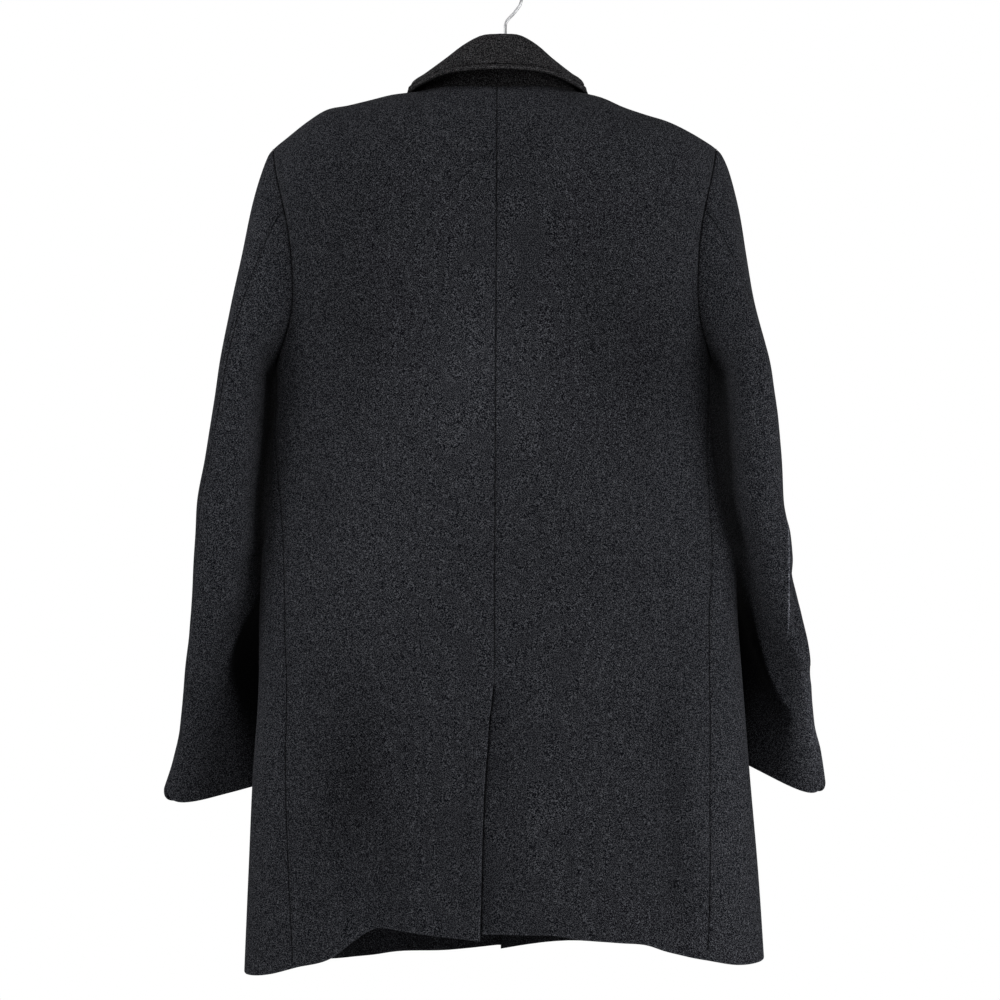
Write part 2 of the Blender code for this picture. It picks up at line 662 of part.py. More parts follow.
def add_hanger_body(finish):
    """The contoured arm: ovals that follow the underside of the shoulder seams."""
    reach = np.concatenate([np.linspace(-1, 1, 25), [0.985, -0.985]]) * HANGER_REACH
    reach = np.unique(np.round(reach, 6))
    around = np.linspace(0, math.tau, HANGER_SIDES, endpoint=False)
    rings = []
    for offset in reach:
        across = HOOK_ACROSS + offset
        side = LEFT if across > 0 else RIGHT
        shoulder = -float(ridge_drop(side, abs(across)))
        slope = (shoulder + float(ridge_drop(side, abs(across) + RIDGE_STEP))) / RIDGE_STEP
        shoulder -= (CLOTH + HANGER_CLEARANCE) * math.hypot(1, slope)
        top = max(HANGER_HUMP - HANGER_HUMP_FALL * offset**2, shoulder)
        height = float(lookup(HANGER, "reach", "height", abs(offset)))
        depth = float(lookup(HANGER, "reach", "thickness", abs(offset)))
        rise = top - height / 2 + np.sin(around) * height / 2
        rings.append(place(np.full(len(around), across), np.cos(around) * depth / 2, -rise))
    add_tube("hanger_body", np.array(rings), finish)


def hook_path():
    """Middle line of the hook: a stem, a bend and most of a circle round its centre."""
    stem = [(HOOK_ACROSS, rise) for rise in (HANGER_HUMP + SEAM_GAP, *HOOK_STEM_RISES)]
    bend = [(HOOK_ACROSS + across, rise) for across, rise in HOOK_BEND]
    turns = np.radians(np.arange(-45, 181, 15))
    circle = [
        (HOOK_ACROSS - HOOK_RADIUS * math.cos(turn), HOOK_CENTRE_RISE + HOOK_RADIUS * math.sin(turn))
        for turn in turns
    ]
    return np.array(stem + bend + circle)


def add_hook(finish):
    """The wire hook: rings of points square to its path."""
    path = hook_path()
    direction = unit(np.gradient(path, axis=0))
    square = np.stack([-direction[:, 1], direction[:, 0]], axis=-1)
    around = np.linspace(0, math.tau, HOOK_SIDES, endpoint=False)
    radius = HOOK_WIRE_RADIUS / math.cos(math.pi / HOOK_SIDES)
    rings = []
    for centre, normal in zip(path, square):
        across = centre[0] + normal[0] * np.cos(around) * radius
        rise = centre[1] + normal[1] * np.cos(around) * radius
        rings.append(place(across, np.sin(around) * radius, -rise))
    add_tube("hanger_hook", np.array(rings), finish)


def add_cylinder(name, radius, height, centre, sides):
    """A closed cylinder along +Z about this centre, as a bare mesh object."""
    turns = np.linspace(0, math.tau, sides, endpoint=False)
    ring = np.stack([radius * np.cos(turns), radius * np.sin(turns)], axis=-1)
    rings = [np.column_stack([ring, np.full(sides, level)]) for level in (-height / 2, height / 2)]
    corners = np.concatenate(rings) + np.array([centre[0], centre[1], 0.0])
    index = np.arange(sides)
    after = (index + 1) % sides
    quads = np.stack([index, after, after + sides, index + sides], axis=-1).tolist()
    mesh = bpy.data.meshes.new(name)
    mesh.from_pydata(corners.tolist(), [], quads + [index[::-1].tolist(), (index + sides).tolist()])
    made = bpy.data.objects.new(name, mesh)
    bpy.context.scene.collection.objects.link(made)
    return made


def add_button(number, drop, finish):
    """A four-hole button that faces forward, seated on the left front at the centre front."""
    angle = np.array([math.pi])
    row = (drop - NECK_FRONT_DROP) / (hem_drop(LEFT, angle) - NECK_FRONT_DROP)
    seat = body_point(LEFT, angle, row)[0]
    normal = body_normal(LEFT, angle, row)[0]
    name = f"button_{number}"
    button = add_cylinder(name, BUTTON_RADIUS, BUTTON_THICKNESS, (0, 0), BUTTON_SIDES)
    rim = button.modifiers.new("rim", "BEVEL")
    rim.width = BUTTON_RIM
    rim.segments = 2
    rim.limit_method = "ANGLE"
    for hole in range(4):
        turn = math.radians(45 + 90 * hole)
        centre = (BUTTON_HOLE_SPREAD * math.cos(turn), BUTTON_HOLE_SPREAD * math.sin(turn))
        cutter = add_cylinder(
            f"{name}_hole_{hole}", BUTTON_HOLE_RADIUS, 3 * BUTTON_THICKNESS, centre, HOLE_SIDES
        )
        cutter.hide_render = True
        cutter.display_type = "WIRE"
        cutter.parent = button
        cut = button.modifiers.new(f"hole {hole}", "BOOLEAN")
        cut.operation = "DIFFERENCE"
        cut.object = cutter
    button.data.materials.append(finish)
    tilt = math.atan2(normal[2], -normal[1])
    button.rotation_euler = (math.pi / 2 - tilt, 0, 0)
    button.location = seat + normal * (SEAM_GAP + BUTTON_THICKNESS / 2) - ORIGIN


def main():
    for stale in list(bpy.data.objects):
        bpy.data.objects.remove(stale, do_unlink=True)
    wool = material("charcoal_wool", (0.030, 0.032, 0.037), 0.95)
    horn = material("dark_horn", (0.020, 0.018, 0.017), 0.35)
    wood = material("beech", (0.48, 0.30, 0.16), 0.45)
    steel = material("steel_wire", (0.60, 0.60, 0.62), 0.30, 1.0)
    for side, name in SIDE_NAMES.items():
        for face in ("back", "front"):
            add_wall(f"{face}_{name}", *body_panel(side, face), wool)
        for piece, grid in sleeve_pieces(side).items():
            add_wall(f"sleeve_{piece}_{name}", *grid, wool)
    add_wall("collar", *collar_grid(), wool)
    for number, drop in enumerate(BUTTON_DROPS, 1):
        add_button(number, drop, horn)
    add_hanger_body(wood)
    add_hook(steel)


main()
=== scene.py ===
# %% [markdown]
# A single car coat of heavy charcoal wool, hanging on a contoured wooden hanger. This scene gives
# the coat its cloth: every cut piece is worked out again as a fine wall on the form of its solid,
# with soft seams, thick turned edges and the creases that a worn coat keeps. The cloth could be
# draped by a simulation, but a coat on its hanger hangs still and its creases are known, so each
# one is put where it is.
#
# The wearer faces -Y, the wearer's left is +X, and the origin is the inside top of the hook.

# %% Load the frame
import math

import bpy
import numpy as np
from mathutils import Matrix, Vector


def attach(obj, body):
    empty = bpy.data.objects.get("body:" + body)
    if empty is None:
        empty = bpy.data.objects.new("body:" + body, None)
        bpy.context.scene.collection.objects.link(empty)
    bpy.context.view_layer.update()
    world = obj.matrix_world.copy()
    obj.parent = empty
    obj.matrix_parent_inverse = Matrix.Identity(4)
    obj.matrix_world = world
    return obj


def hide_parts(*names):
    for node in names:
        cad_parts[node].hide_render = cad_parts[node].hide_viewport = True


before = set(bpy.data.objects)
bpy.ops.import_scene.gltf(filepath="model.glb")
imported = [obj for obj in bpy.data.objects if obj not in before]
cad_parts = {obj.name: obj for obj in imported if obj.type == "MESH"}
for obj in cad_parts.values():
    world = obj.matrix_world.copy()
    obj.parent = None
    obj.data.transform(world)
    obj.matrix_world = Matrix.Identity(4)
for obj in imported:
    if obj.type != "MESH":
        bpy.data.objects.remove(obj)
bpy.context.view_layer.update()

# %% [markdown]
# The cut of the coat. "across" is a distance from the centre back line, "fore" a distance in
# front of the shoulder seams and "drop" a distance below the nape, all in metres. These are the
# same few measures that shape the solids, so that the fine cloth lies where they lie. It could
# be fitted to the solids' meshes, but a cut is best told as a cutter tells it, in a few rows.

# %% Plain measures
CLOTH = 0.0026
NECK_HALF, NAPE_RISE, NECK_RISE, NECK_FRONT_DROP = 0.082, 0.004, 0.0045, 0.080
SHOULDER_ROUND = 0.090
SECTION_POWER = 2.6
SHOULDER_POINT_DROP, ARMHOLE_BOTTOM, SEAM_FOOT_DROP = 0.0585, 0.292, 0.930
CENTRE_HEM_DROP = 0.900
VENT_TOP, VENT_UNDERLAP = 0.625, 0.040
FRONT_OVERLAP, FRONT_DRIFT, LAP_CLEARANCE = 0.030, 0.034, 0.0012
ROLL_RADIUS = 0.0060
BUTTON_RADIUS, BUTTON_THICKNESS, BUTTON_SEAT = 0.0125, 0.0042, 0.0003
BUTTON_DROPS = (0.150, 0.275, 0.400, 0.525)
BUTTON_HOLE_RADIUS, BUTTON_HOLE_SPREAD = 0.0011, 0.0026
HANGER_REACH, HANGER_HUMP, HANGER_HUMP_FALL, HANGER_CLEARANCE = 0.205, 0.034, 7.8, 0.0030
HOOK_ACROSS, HOOK_RADIUS, HOOK_CENTRE_RISE, HOOK_WIRE_RADIUS = -0.009, 0.0175, 0.1065, 0.0016
LEFT, RIGHT = 1, -1
SIDE_NAMES = {LEFT: "left", RIGHT: "right"}
ORIGIN = np.array([HOOK_ACROSS, 0.0, HOOK_CENTRE_RISE + HOOK_RADIUS - HOOK_WIRE_RADIUS])


def table(names, *rows):
    """A table with named columns, as one array for each column."""
    return dict(zip(names.split(), np.array(rows, float).T))


print("cloth", CLOTH, "m thick, back", CENTRE_HEM_DROP, "m long, vent", CENTRE_HEM_DROP - VENT_TOP, "m")

# %% Shoulders, width and depth
# Drop of the shoulder line at a distance from the centre, and of its run on over the neck
SHOULDER = table(
    "across left right",
    (0.000, -0.020, -0.020),
    (0.045, -0.0150, -0.0150),
    (0.082, -0.0045, -0.0045),
    (0.115, 0.000, 0.0035),
    (0.135, 0.005, 0.0125),
    (0.160, 0.011, 0.021),
    (0.185, 0.0160, 0.0285),
    (0.205, 0.0283, 0.0378),
    (0.230, 0.0475, 0.0520),
    (0.250, 0.0620, 0.0640),
)

# Half width of the body
BODY_WIDTH = table(
    "drop left right",
    (0.00, 0.246, 0.241),
    (0.06, 0.2435, 0.2385),
    (0.20, 0.240, 0.233),
    (0.31, 0.2386, 0.230),
    (0.39, 0.2455, 0.2355),
    (0.45, 0.249, 0.246),
    (0.50, 0.254, 0.257),
    (0.56, 0.257, 0.260),
    (0.65, 0.2585, 0.2668),
    (0.73, 0.264, 0.273),
    (0.84, 0.269, 0.2825),
    (0.96, 0.274, 0.2905),
)

# Depth of the body behind and in front of the shoulder seams
BODY_DEPTH = table(
    "drop back front",
    (0.00, 0.080, 0.070),
    (0.15, 0.088, 0.076),
    (0.35, 0.088, 0.078),
    (0.60, 0.080, 0.072),
    (0.96, 0.078, 0.076),
)

print("half width at the shoulders", BODY_WIDTH["left"][0], "m, at the hem", BODY_WIDTH["left"][-1], "m")

# %% Armholes, seams, hem and vent
# Armhole, from the shoulder point (0) to its lowest point (1), as shares of the half width
ARMHOLE = table(
    "down back_left back_right front_left front_right",
    (0.00, 1.000, 1.000, 1.000, 1.000),
    (0.12, 0.985, 0.980, 0.965, 0.965),
    (0.30, 0.950, 0.947, 0.915, 0.915),
    (0.50, 0.917, 0.921, 0.880, 0.880),
    (0.70, 0.906, 0.918, 0.872, 0.872),
    (0.85, 0.920, 0.935, 0.900, 0.900),
    (0.95, 0.965, 0.972, 0.960, 0.960),
    (1.00, 1.000, 1.000, 1.000, 1.000),
)

# Side-back seam below the armhole, as shares of the half width
SIDE_SEAM = table(
    "drop left right",
    (0.292, 1.000, 1.000),
    (0.350, 0.985, 0.985),
    (0.420, 0.945, 0.945),
    (0.500, 0.893, 0.890),
    (0.600, 0.872, 0.857),
    (0.700, 0.855, 0.835),
    (0.800, 0.832, 0.810),
    (0.960, 0.780, 0.763),
)

# Hem, from the centre back (0) past the side (1) to the centre front (2)
HEM = table(
    "place left right",
    (0.00, 0.900, 0.894),
    (0.18, 0.897, 0.894),
    (0.30, 0.893, 0.899),
    (0.45, 0.889, 0.903),
    (0.55, 0.901, 0.906),
    (0.64, 0.920, 0.916),
    (0.78, 0.932, 0.925),
    (0.89, 0.942, 0.932),
    (1.00, 0.948, 0.933),
    (1.33, 0.949, 0.932),
    (1.57, 0.943, 0.931),
    (1.82, 0.942, 0.933),
    (2.00, 0.937, 0.941),
)

# Edge of the vent's over-flap, drawn back towards the wearer's left
VENT_EDGE = table(
    "drop across",
    (0.000, 0.0000),
    (0.300, 0.0014),
    (0.560, 0.0029),
    (0.625, 0.0034),
    (0.646, 0.0052),
    (0.667, 0.0080),
    (0.696, 0.0100),
    (0.746, 0.0135),
    (0.840, 0.0165),
    (0.900, 0.0180),
)

# The largest folds of the body: soft troughs that run down to the hem
BODY_FOLDS = table(
    "side face across_top across_bottom drop_top drop_bottom width depth",
    (LEFT, 1, 0.112, 0.126, 0.700, 0.900, 0.017, 0.0100),
    (RIGHT, 1, 0.176, 0.188, 0.560, 0.960, 0.016, 0.0060),
    (LEFT, -1, 0.120, 0.136, 0.520, 0.960, 0.020, 0.0070),
    (RIGHT, -1, 0.128, 0.110, 0.600, 0.960, 0.018, 0.0060),
)
print(len(BODY_FOLDS["side"]), "large folds, and a hem from", HEM["left"].min(), "to", HEM["left"].max(), "m")

# %% [markdown]
# The sleeves hang as flat tubes that turn slowly on their way down, as sleeves with no arm in
# them do. They could be bent out of straight tubes, but rows say more plainly how they hang. Each
# row is one ring: where its middle lies, how long and thin it is, how far it has turned from
# fore-and-aft, and where the elbow seam runs on it.

# %% Measures of the sleeves
SLEEVES = {
    LEFT: table(
        "drop across fore long thin turn rise lean tip elbow",
        (0.310, 0.2710, 0.000, 0.084, 0.0245, 3, 0.00, 0.016, 0.000, 66),
        (0.350, 0.2755, 0.002, 0.083, 0.0270, 3, 0.00, 0.018, 0.000, 62),
        (0.395, 0.2815, 0.004, 0.082, 0.0290, 3, 0.00, 0.018, 0.000, 58),
        (0.440, 0.2870, 0.008, 0.080, 0.0310, 4, 0.00, 0.016, 0.000, 54),
        (0.480, 0.2880, 0.012, 0.079, 0.0315, 6, 0.00, 0.012, 0.000, 52),
        (0.520, 0.2890, 0.018, 0.078, 0.0310, 10, 0.00, 0.008, 0.000, 52),
        (0.560, 0.2880, 0.024, 0.077, 0.0265, 19, 0.02, 0.004, 0.000, 54),
        (0.600, 0.2860, 0.030, 0.077, 0.0215, 30, 0.04, 0.000, 0.000, 56),
        (0.640, 0.2825, 0.036, 0.076, 0.0180, 42, 0.06, 0.000, 0.000, 58),
        (0.680, 0.2815, 0.040, 0.076, 0.0170, 51, 0.08, 0.000, 0.002, 60),
        (0.715, 0.2865, 0.043, 0.076, 0.0175, 57, 0.13, 0.000, 0.008, 62),
        (0.7585, 0.2955, 0.046, 0.076, 0.0180, 62, 0.19, 0.000, 0.022, 64),
    ),
    RIGHT: table(
        "drop across fore long thin turn rise lean tip elbow",
        (0.310, 0.2665, 0.000, 0.084, 0.0240, 3, 0.00, 0.022, 0.000, 38),
        (0.350, 0.2710, 0.002, 0.083, 0.0260, 3, 0.00, 0.026, 0.000, 38),
        (0.395, 0.2750, 0.004, 0.082, 0.0270, 3, 0.00, 0.027, 0.000, 40),
        (0.440, 0.2780, 0.008, 0.080, 0.0265, 4, 0.00, 0.024, 0.000, 42),
        (0.480, 0.2835, 0.012, 0.079, 0.0240, 6, 0.00, 0.018, 0.000, 44),
        (0.520, 0.2860, 0.018, 0.078, 0.0225, 11, 0.00, 0.012, 0.000, 46),
        (0.560, 0.2885, 0.024, 0.077, 0.0210, 20, 0.03, 0.006, 0.000, 50),
        (0.600, 0.2880, 0.030, 0.077, 0.0180, 32, 0.07, 0.000, 0.000, 54),
        (0.640, 0.2825, 0.036, 0.076, 0.0140, 45, 0.11, 0.000, 0.000, 58),
        (0.670, 0.2815, 0.040, 0.076, 0.0125, 53, 0.16, 0.000, 0.002, 60),
        (0.698, 0.2868, 0.045, 0.076, 0.0150, 58, 0.29, 0.000, 0.010, 62),
        (0.7340, 0.2905, 0.050, 0.076, 0.0175, 62, 0.42, 0.000, 0.022, 64),
    ),
}
SLEEVE_POWER = 3.2
HEAD_OUT = {LEFT: 0.084, RIGHT: 0.102}
HEAD_DOWN, HEAD_ARRIVE = 0.105, 0.38
FOREARM_SEAM = 265
print("cuffs at", [float(SLEEVES[side]["drop"][-1]) for side in SLEEVES], "m below the nape")

# %% Measures of the collar and the hanger
# Crest and lower edge of the collar at a turn round the neck, in degrees from the centre back
COLLAR = table(
    "turn facing crest_up crest_out edge_up edge_across edge_fore",
    (0, 0, 0.0525, -0.001, 0.0155, 0.0000, -0.0700),
    (13, 13, 0.0512, -0.001, 0.0150, 0.0210, -0.0690),
    (26, 26, 0.0414, 0.000, 0.0140, 0.0410, -0.0650),
    (39, 40, 0.0286, 0.000, 0.0120, 0.0590, -0.0560),
    (60, 64, 0.0160, 0.000, 0.0062, 0.0805, -0.0380),
    (75, 78, 0.0135, 0.000, 0.0042, 0.0900, -0.0200),
    (90, 90, 0.0120, 0.001, 0.0030, 0.0965, 0.0000),
    (94, 93, 0.0120, 0.001, 0.0010, 0.1020, 0.0250),
    (103, 100, 0.0125, 0.001, -0.0120, 0.1080, 0.0440),
    (120, 125, 0.0135, 0.001, -0.0400, 0.1090, 0.0600),
    (150, 155, 0.0160, 0.001, -0.0860, 0.0800, 0.0770),
    (175, 178, 0.0160, 0.001, -0.1320, 0.0420, 0.0800),
)
COLLAR_CLEARANCE = 0.0014
COLLAR_LEAN, COLLAR_LEAN_START = -0.085, 0.009

# Hanger arm at a distance from its middle, and the hook's wire on its way up to the round
HANGER = table(
    "reach height thickness",
    (0.000, 0.030, 0.012),
    (0.080, 0.024, 0.013),
    (0.150, 0.024, 0.020),
    (0.190, 0.026, 0.026),
    (0.205, 0.018, 0.016),
)
HOOK_STEM = table(
    "rise across",
    (0.0340, 0.0),
    (0.0740, 0.0),
    (0.0800, -0.0008),
    (0.0850, -0.0045),
    (0.0888, -0.0084),
    (0.0941, -0.0124),
)
print("collar", COLLAR["crest_up"][0], "m high behind, hanger", 2 * HANGER_REACH, "m long")

# %% [markdown]
# Small tools for curves and surfaces. Blender's own curves could do some of this, but these take
# whole arrays of numbers at once and give the same answer each time.


# %% Curves and vectors
def lookup(rows, key, column, at):
    """A smooth curve through one column, read at the given values of the key column.

    Each span is a cubic that meets its neighbours with the same slope, and that is level
    where the column turns back.
    """
    knots, values = rows[key], rows[column]
    slopes = np.gradient(values, knots)
    steps = np.diff(values) / np.diff(knots)
    turning = np.zeros(len(knots), bool)
    turning[1:-1] = steps[:-1] * steps[1:] <= 0
    slopes[turning] = 0
    at = np.clip(np.asarray(at, float), knots[0], knots[-1])
    index = np.clip(np.searchsorted(knots, at, side="right") - 1, 0, len(knots) - 2)
    span = knots[index + 1] - knots[index]
    share = (at - knots[index]) / span
    start = (1 + 2 * share) * (1 - share) ** 2 * values[index]
    end = share**2 * (3 - 2 * share) * values[index + 1]
    leave = share * (1 - share) ** 2 * span * slopes[index]
    arrive = share**2 * (share - 1) * span * slopes[index + 1]
    return start + end + leave + arrive


def ease(value, start, end):
    """0 before the start, 1 past the end, and a smooth step between them."""
    share = np.clip((value - start) / (end - start), 0, 1)
    return share * share * (3 - 2 * share)


def unit(vectors):
    """The vectors at a length of 1."""
    return vectors / np.maximum(np.linalg.norm(vectors, axis=-1, keepdims=True), 1e-12)


def place(across, fore, drop):
    """Points in the coat's own frame, before the hook is made the origin."""
    across, fore, drop = np.broadcast_arrays(across, fore, drop)
    return np.stack([across, -fore, -drop], axis=-1).astype(float)


# %% [markdown]
# The body is one smooth surface round the coat. Its section is a circle drawn out towards its
# square, and below the line along the top it rounds over the hanger like a quarter of an
# ellipse. The panels could be shaped one by one, but cut from one surface along their real seams
# they meet of themselves.


# %% Section and top of the body
def section_radius(angle, power=SECTION_POWER):
    """Radius of the unit section: (|sin|^p + |cos|^p) ^ (-1/p)."""
    return (np.abs(np.sin(angle)) ** power + np.abs(np.cos(angle)) ** power) ** (-1 / power)


def side_angle(share):
    """Angle from the centre back at which the section reaches this share of its half width."""
    share = np.clip(share, -1, 1)
    return np.arctan2(share, (1 - np.abs(share) ** SECTION_POWER) ** (1 / SECTION_POWER))


def neck_drop(across, front):
    """Drop of the neck edge: shallow behind, a quarter of an ellipse in front."""
    share = np.clip(across / NECK_HALF, 0, 1)
    back = -NAPE_RISE - (NECK_RISE - NAPE_RISE) * share**2
    return np.where(front, (NECK_FRONT_DROP + NECK_RISE) * np.sqrt(1 - share**2) - NECK_RISE, back)


def ridge_drop(side, across):
    """Drop of the line along the top of the body, which the shoulder seams follow."""
    return lookup(SHOULDER, "across", SIDE_NAMES[side], across)


def half_width(side, drop):
    """Half width of the body at a drop."""
    return lookup(BODY_WIDTH, "drop", SIDE_NAMES[side], drop)


print("shoulder line at the neck and the shoulder point:", ridge_drop(LEFT, [NECK_HALF, 0.25]).round(4))


# %% Folds, laps and hem
def fold_depth(side, across, fore, drop):
    """How far the large folds draw the wall inwards: a bell curve across each fold's line."""
    depth = np.zeros(np.shape(across))
    for row in range(len(BODY_FOLDS["side"])):
        fold = {name: column[row] for name, column in BODY_FOLDS.items()}
        if fold["side"] != side:
            continue
        share = (drop - fold["drop_top"]) / (fold["drop_bottom"] - fold["drop_top"])
        middle = fold["across_top"] + share * (fold["across_bottom"] - fold["across_top"])
        profile = np.exp(-(((across - middle) / fold["width"]) ** 2))
        on_face = ease(-fore * fold["face"], 0.0, 0.03)
        depth = depth + fold["depth"] * profile * ease(share, 0.0, 0.8) * on_face
    return depth


def lap_depth(side, front, across, drop):
    """How far the vent's under-flap and the two fronts lie in from the plain section."""
    step = CLOTH + LAP_CLEARANCE
    fronts = -side * 0.5 * step * (1 - ease(across, 0.035, 0.080))
    vent = step * (1 - ease(across, 0.005, 0.035))
    vent = vent * ease(drop, VENT_TOP - 0.006, VENT_TOP + 0.012) * (side == RIGHT)
    return np.where(front, fronts, vent)


def hem_drop(side, angle):
    """Drop of the hem at an angle round the body."""
    share = section_radius(angle) * np.sin(angle)
    return lookup(HEM, "place", SIDE_NAMES[side], np.where(np.cos(angle) < 0, 2 - share, share))


print("hem at the sides:", [round(float(hem_drop(side, math.pi / 2)), 4) for side in (LEFT, RIGHT)])


# %% The body's surface
def neck_reach(row):
    """How much of the front neck's shape a row of points still follows: 1 at the neck edge."""
    return 1 - ease(row, 0.0, 0.25)


def body_point(side, angle, row):
    """A point of the body's outer surface at an angle round it and a share of the way to the hem.

    x = half width * r * sin(angle) and y = depth * r * cos(angle), with r the unit section's
    radius. Near the top, y is also multiplied by the height of a quarter circle.
    """
    front = np.cos(angle) < 0
    sine, radius = np.sin(angle), section_radius(angle)
    hem = hem_drop(side, angle)
    drop = row * hem
    reach = np.where(front, neck_reach(row), 1.0)
    for _ in range(6):
        across = half_width(side, drop) * radius * sine
        ridge = ridge_drop(side, across)
        neck = ridge + (neck_drop(across, front) - ridge) * reach
        top = np.where(across < NECK_HALF, neck, ridge)
        drop = top + row * (hem - top)
    back_depth = lookup(BODY_DEPTH, "drop", "back", drop)
    front_depth = lookup(BODY_DEPTH, "drop", "front", drop)
    full = np.sqrt(1 - (1 - np.clip((drop - ridge) / SHOULDER_ROUND, 0, 1)) ** 2)
    fore = -np.where(front, front_depth, back_depth) * radius * np.cos(angle) * full
    inwards = fold_depth(side, across, fore, drop) * full
    inwards = inwards + lap_depth(side, front, across, drop)
    fore = fore + np.where(front, -1, 1) * inwards
    return place(side * across, fore, drop)


def body_normal(side, angle, row):
    """The outward normal of the body's surface, from its two directions."""
    step = 1e-3
    along = body_point(side, angle + step, row) - body_point(side, angle - step, row)
    down = body_point(side, angle, row + step) - body_point(side, angle, row)
    return unit(np.cross(along, down)) * side


print("left shoulder point:", body_point(LEFT, math.pi / 2, 0.0).round(4))

# %% [markdown]
# Creases. A coat that has been worn keeps soft, uneven troughs: under the arms, across the
# seat, round the elbows and where it was folded to be stored. A simulation would put them
# anywhere. Here each one is placed as a line on the cloth, with its own width and depth,
# and fades out at both ends.

# %% Creases placed one by one
# face (1 behind, -1 in front), width, depth, then the line's points as across and drop
BODY_CREASES = (
    (1, 0.0050, 0.0007, ((0.100, 0.508), (0.060, 0.503), (0.020, 0.507))),
    (1, 0.0040, 0.0006, ((0.006, 0.607), (-0.015, 0.605))),
    (1, 0.0080, 0.0009, ((0.058, 0.622), (0.040, 0.636), (0.012, 0.646))),
    (1, 0.0080, 0.0010, ((-0.060, 0.716), (-0.098, 0.737), (-0.132, 0.744))),
    (1, 0.0120, 0.0013, ((0.104, 0.215), (0.083, 0.300), (0.060, 0.358))),
    (1, 0.0120, 0.0011, ((-0.110, 0.235), (-0.078, 0.300), (-0.046, 0.362))),
    (1, 0.0100, 0.0012, ((-0.026, 0.225), (-0.030, 0.270), (-0.020, 0.320))),
    (1, 0.0140, 0.0020, ((0.214, 0.350), (0.196, 0.420), (0.182, 0.520))),
    (1, 0.0140, 0.0018, ((-0.206, 0.330), (-0.192, 0.410), (-0.178, 0.500))),
    (1, 0.0110, 0.0013, ((0.150, 0.640), (0.139, 0.735), (0.142, 0.840))),
    (1, 0.0120, 0.0014, ((-0.052, 0.770), (-0.060, 0.830), (-0.058, 0.885))),
    (-1, 0.0130, 0.0022, ((0.190, 0.230), (0.150, 0.300), (0.094, 0.350))),
    (-1, 0.0130, 0.0020, ((-0.186, 0.250), (-0.140, 0.306), (-0.090, 0.372))),
    (-1, 0.0100, 0.0013, ((0.040, 0.300), (0.082, 0.322), (0.128, 0.372))),
    (-1, 0.0120, 0.0016, ((0.060, 0.560), (0.074, 0.690), (0.066, 0.860))),
    (-1, 0.0120, 0.0015, ((-0.080, 0.590), (-0.072, 0.720), (-0.084, 0.880))),
    (-1, 0.0140, 0.0018, ((0.206, 0.420), (0.196, 0.560), (0.204, 0.700))),
    (-1, 0.0140, 0.0018, ((-0.204, 0.430), (-0.194, 0.570), (-0.206, 0.720))),
)

# side, face, width, depth, then the line's points. A negative depth is a ridge.
SLEEVE_CREASES = (
    (RIGHT, 1, 0.0045, -0.0036, ((-0.305, 0.440), (-0.3085, 0.500), (-0.3085, 0.585))),
    (RIGHT, 1, 0.0050, 0.0032, ((-0.313, 0.500), (-0.317, 0.560), (-0.320, 0.600))),
    (RIGHT, 1, 0.0090, 0.0022, ((-0.252, 0.475), (-0.280, 0.497), (-0.303, 0.500))),
    (RIGHT, 1, 0.0100, 0.0020, ((-0.262, 0.380), (-0.282, 0.410), (-0.300, 0.415))),
    (RIGHT, 1, 0.0080, 0.0020, ((-0.262, 0.560), (-0.290, 0.590), (-0.312, 0.592))),
    (LEFT, 1, 0.0100, 0.0024, ((0.250, 0.490), (0.276, 0.520), (0.310, 0.528))),
    (LEFT, 1, 0.0090, 0.0020, ((0.262, 0.400), (0.286, 0.424), (0.312, 0.430))),
    (LEFT, 1, 0.0090, 0.0022, ((0.252, 0.548), (0.286, 0.580), (0.318, 0.582))),
    (LEFT, 1, 0.0080, 0.0016, ((0.282, 0.640), (0.304, 0.660), (0.330, 0.664))),
    (LEFT, -1, 0.0100, 0.0024, ((0.262, 0.440), (0.286, 0.470), (0.306, 0.474))),
    (LEFT, -1, 0.0090, 0.0020, ((0.232, 0.560), (0.266, 0.590), (0.300, 0.592))),
    (RIGHT, -1, 0.0100, 0.0024, ((-0.256, 0.430), (-0.282, 0.462), (-0.300, 0.466))),
    (RIGHT, -1, 0.0090, 0.0020, ((-0.236, 0.546), (-0.264, 0.580), (-0.300, 0.584))),
    (LEFT, 1, 0.0065, -0.0035, ((0.252, 0.515), (0.268, 0.556), (0.284, 0.590), (0.296, 0.636))),
    (RIGHT, 1, 0.0065, -0.0040, ((-0.266, 0.530), (-0.282, 0.590), (-0.304, 0.651), (-0.322, 0.684))),
    (RIGHT, 1, 0.0070, 0.0034, ((-0.296, 0.610), (-0.322, 0.622), (-0.352, 0.628))),
)
print(len(BODY_CREASES), "creases on the body and", len(SLEEVE_CREASES), "on the sleeves")


# %% Depth of the creases
def crease(points, line, width, depth):
    """Depth of one crease at each point, seen from behind.

    depth * exp(-(distance / width)^2), with the distance to the nearest part of the line. The
    crease fades in over the first quarter of the line and out over its last quarter.
    """
    flat = np.stack([points[..., 0], -points[..., 2]], axis=-1)
    line = np.array(line)
    lengths = np.linalg.norm(np.diff(line, axis=0), axis=1)
    starts = np.concatenate([[0], np.cumsum(lengths)[:-1]])
    nearest = np.full(flat.shape[:-1], np.inf)
    along = np.zeros(flat.shape[:-1])
    for first, last, length, start in zip(line[:-1], line[1:], lengths, starts):
        direction = (last - first) / length
        reach = np.clip((flat - first) @ direction, 0, length)
        distance = np.linalg.norm(flat - first - reach[..., None] * direction, axis=-1)
        closer = distance < nearest
        nearest = np.where(closer, distance, nearest)
        along = np.where(closer, start + reach, along)
    share = along / lengths.sum()
    fade = ease(share, 0, 0.25) * (1 - ease(share, 0.75, 1))
    return depth * np.exp(-((nearest / width) ** 2)) * fade


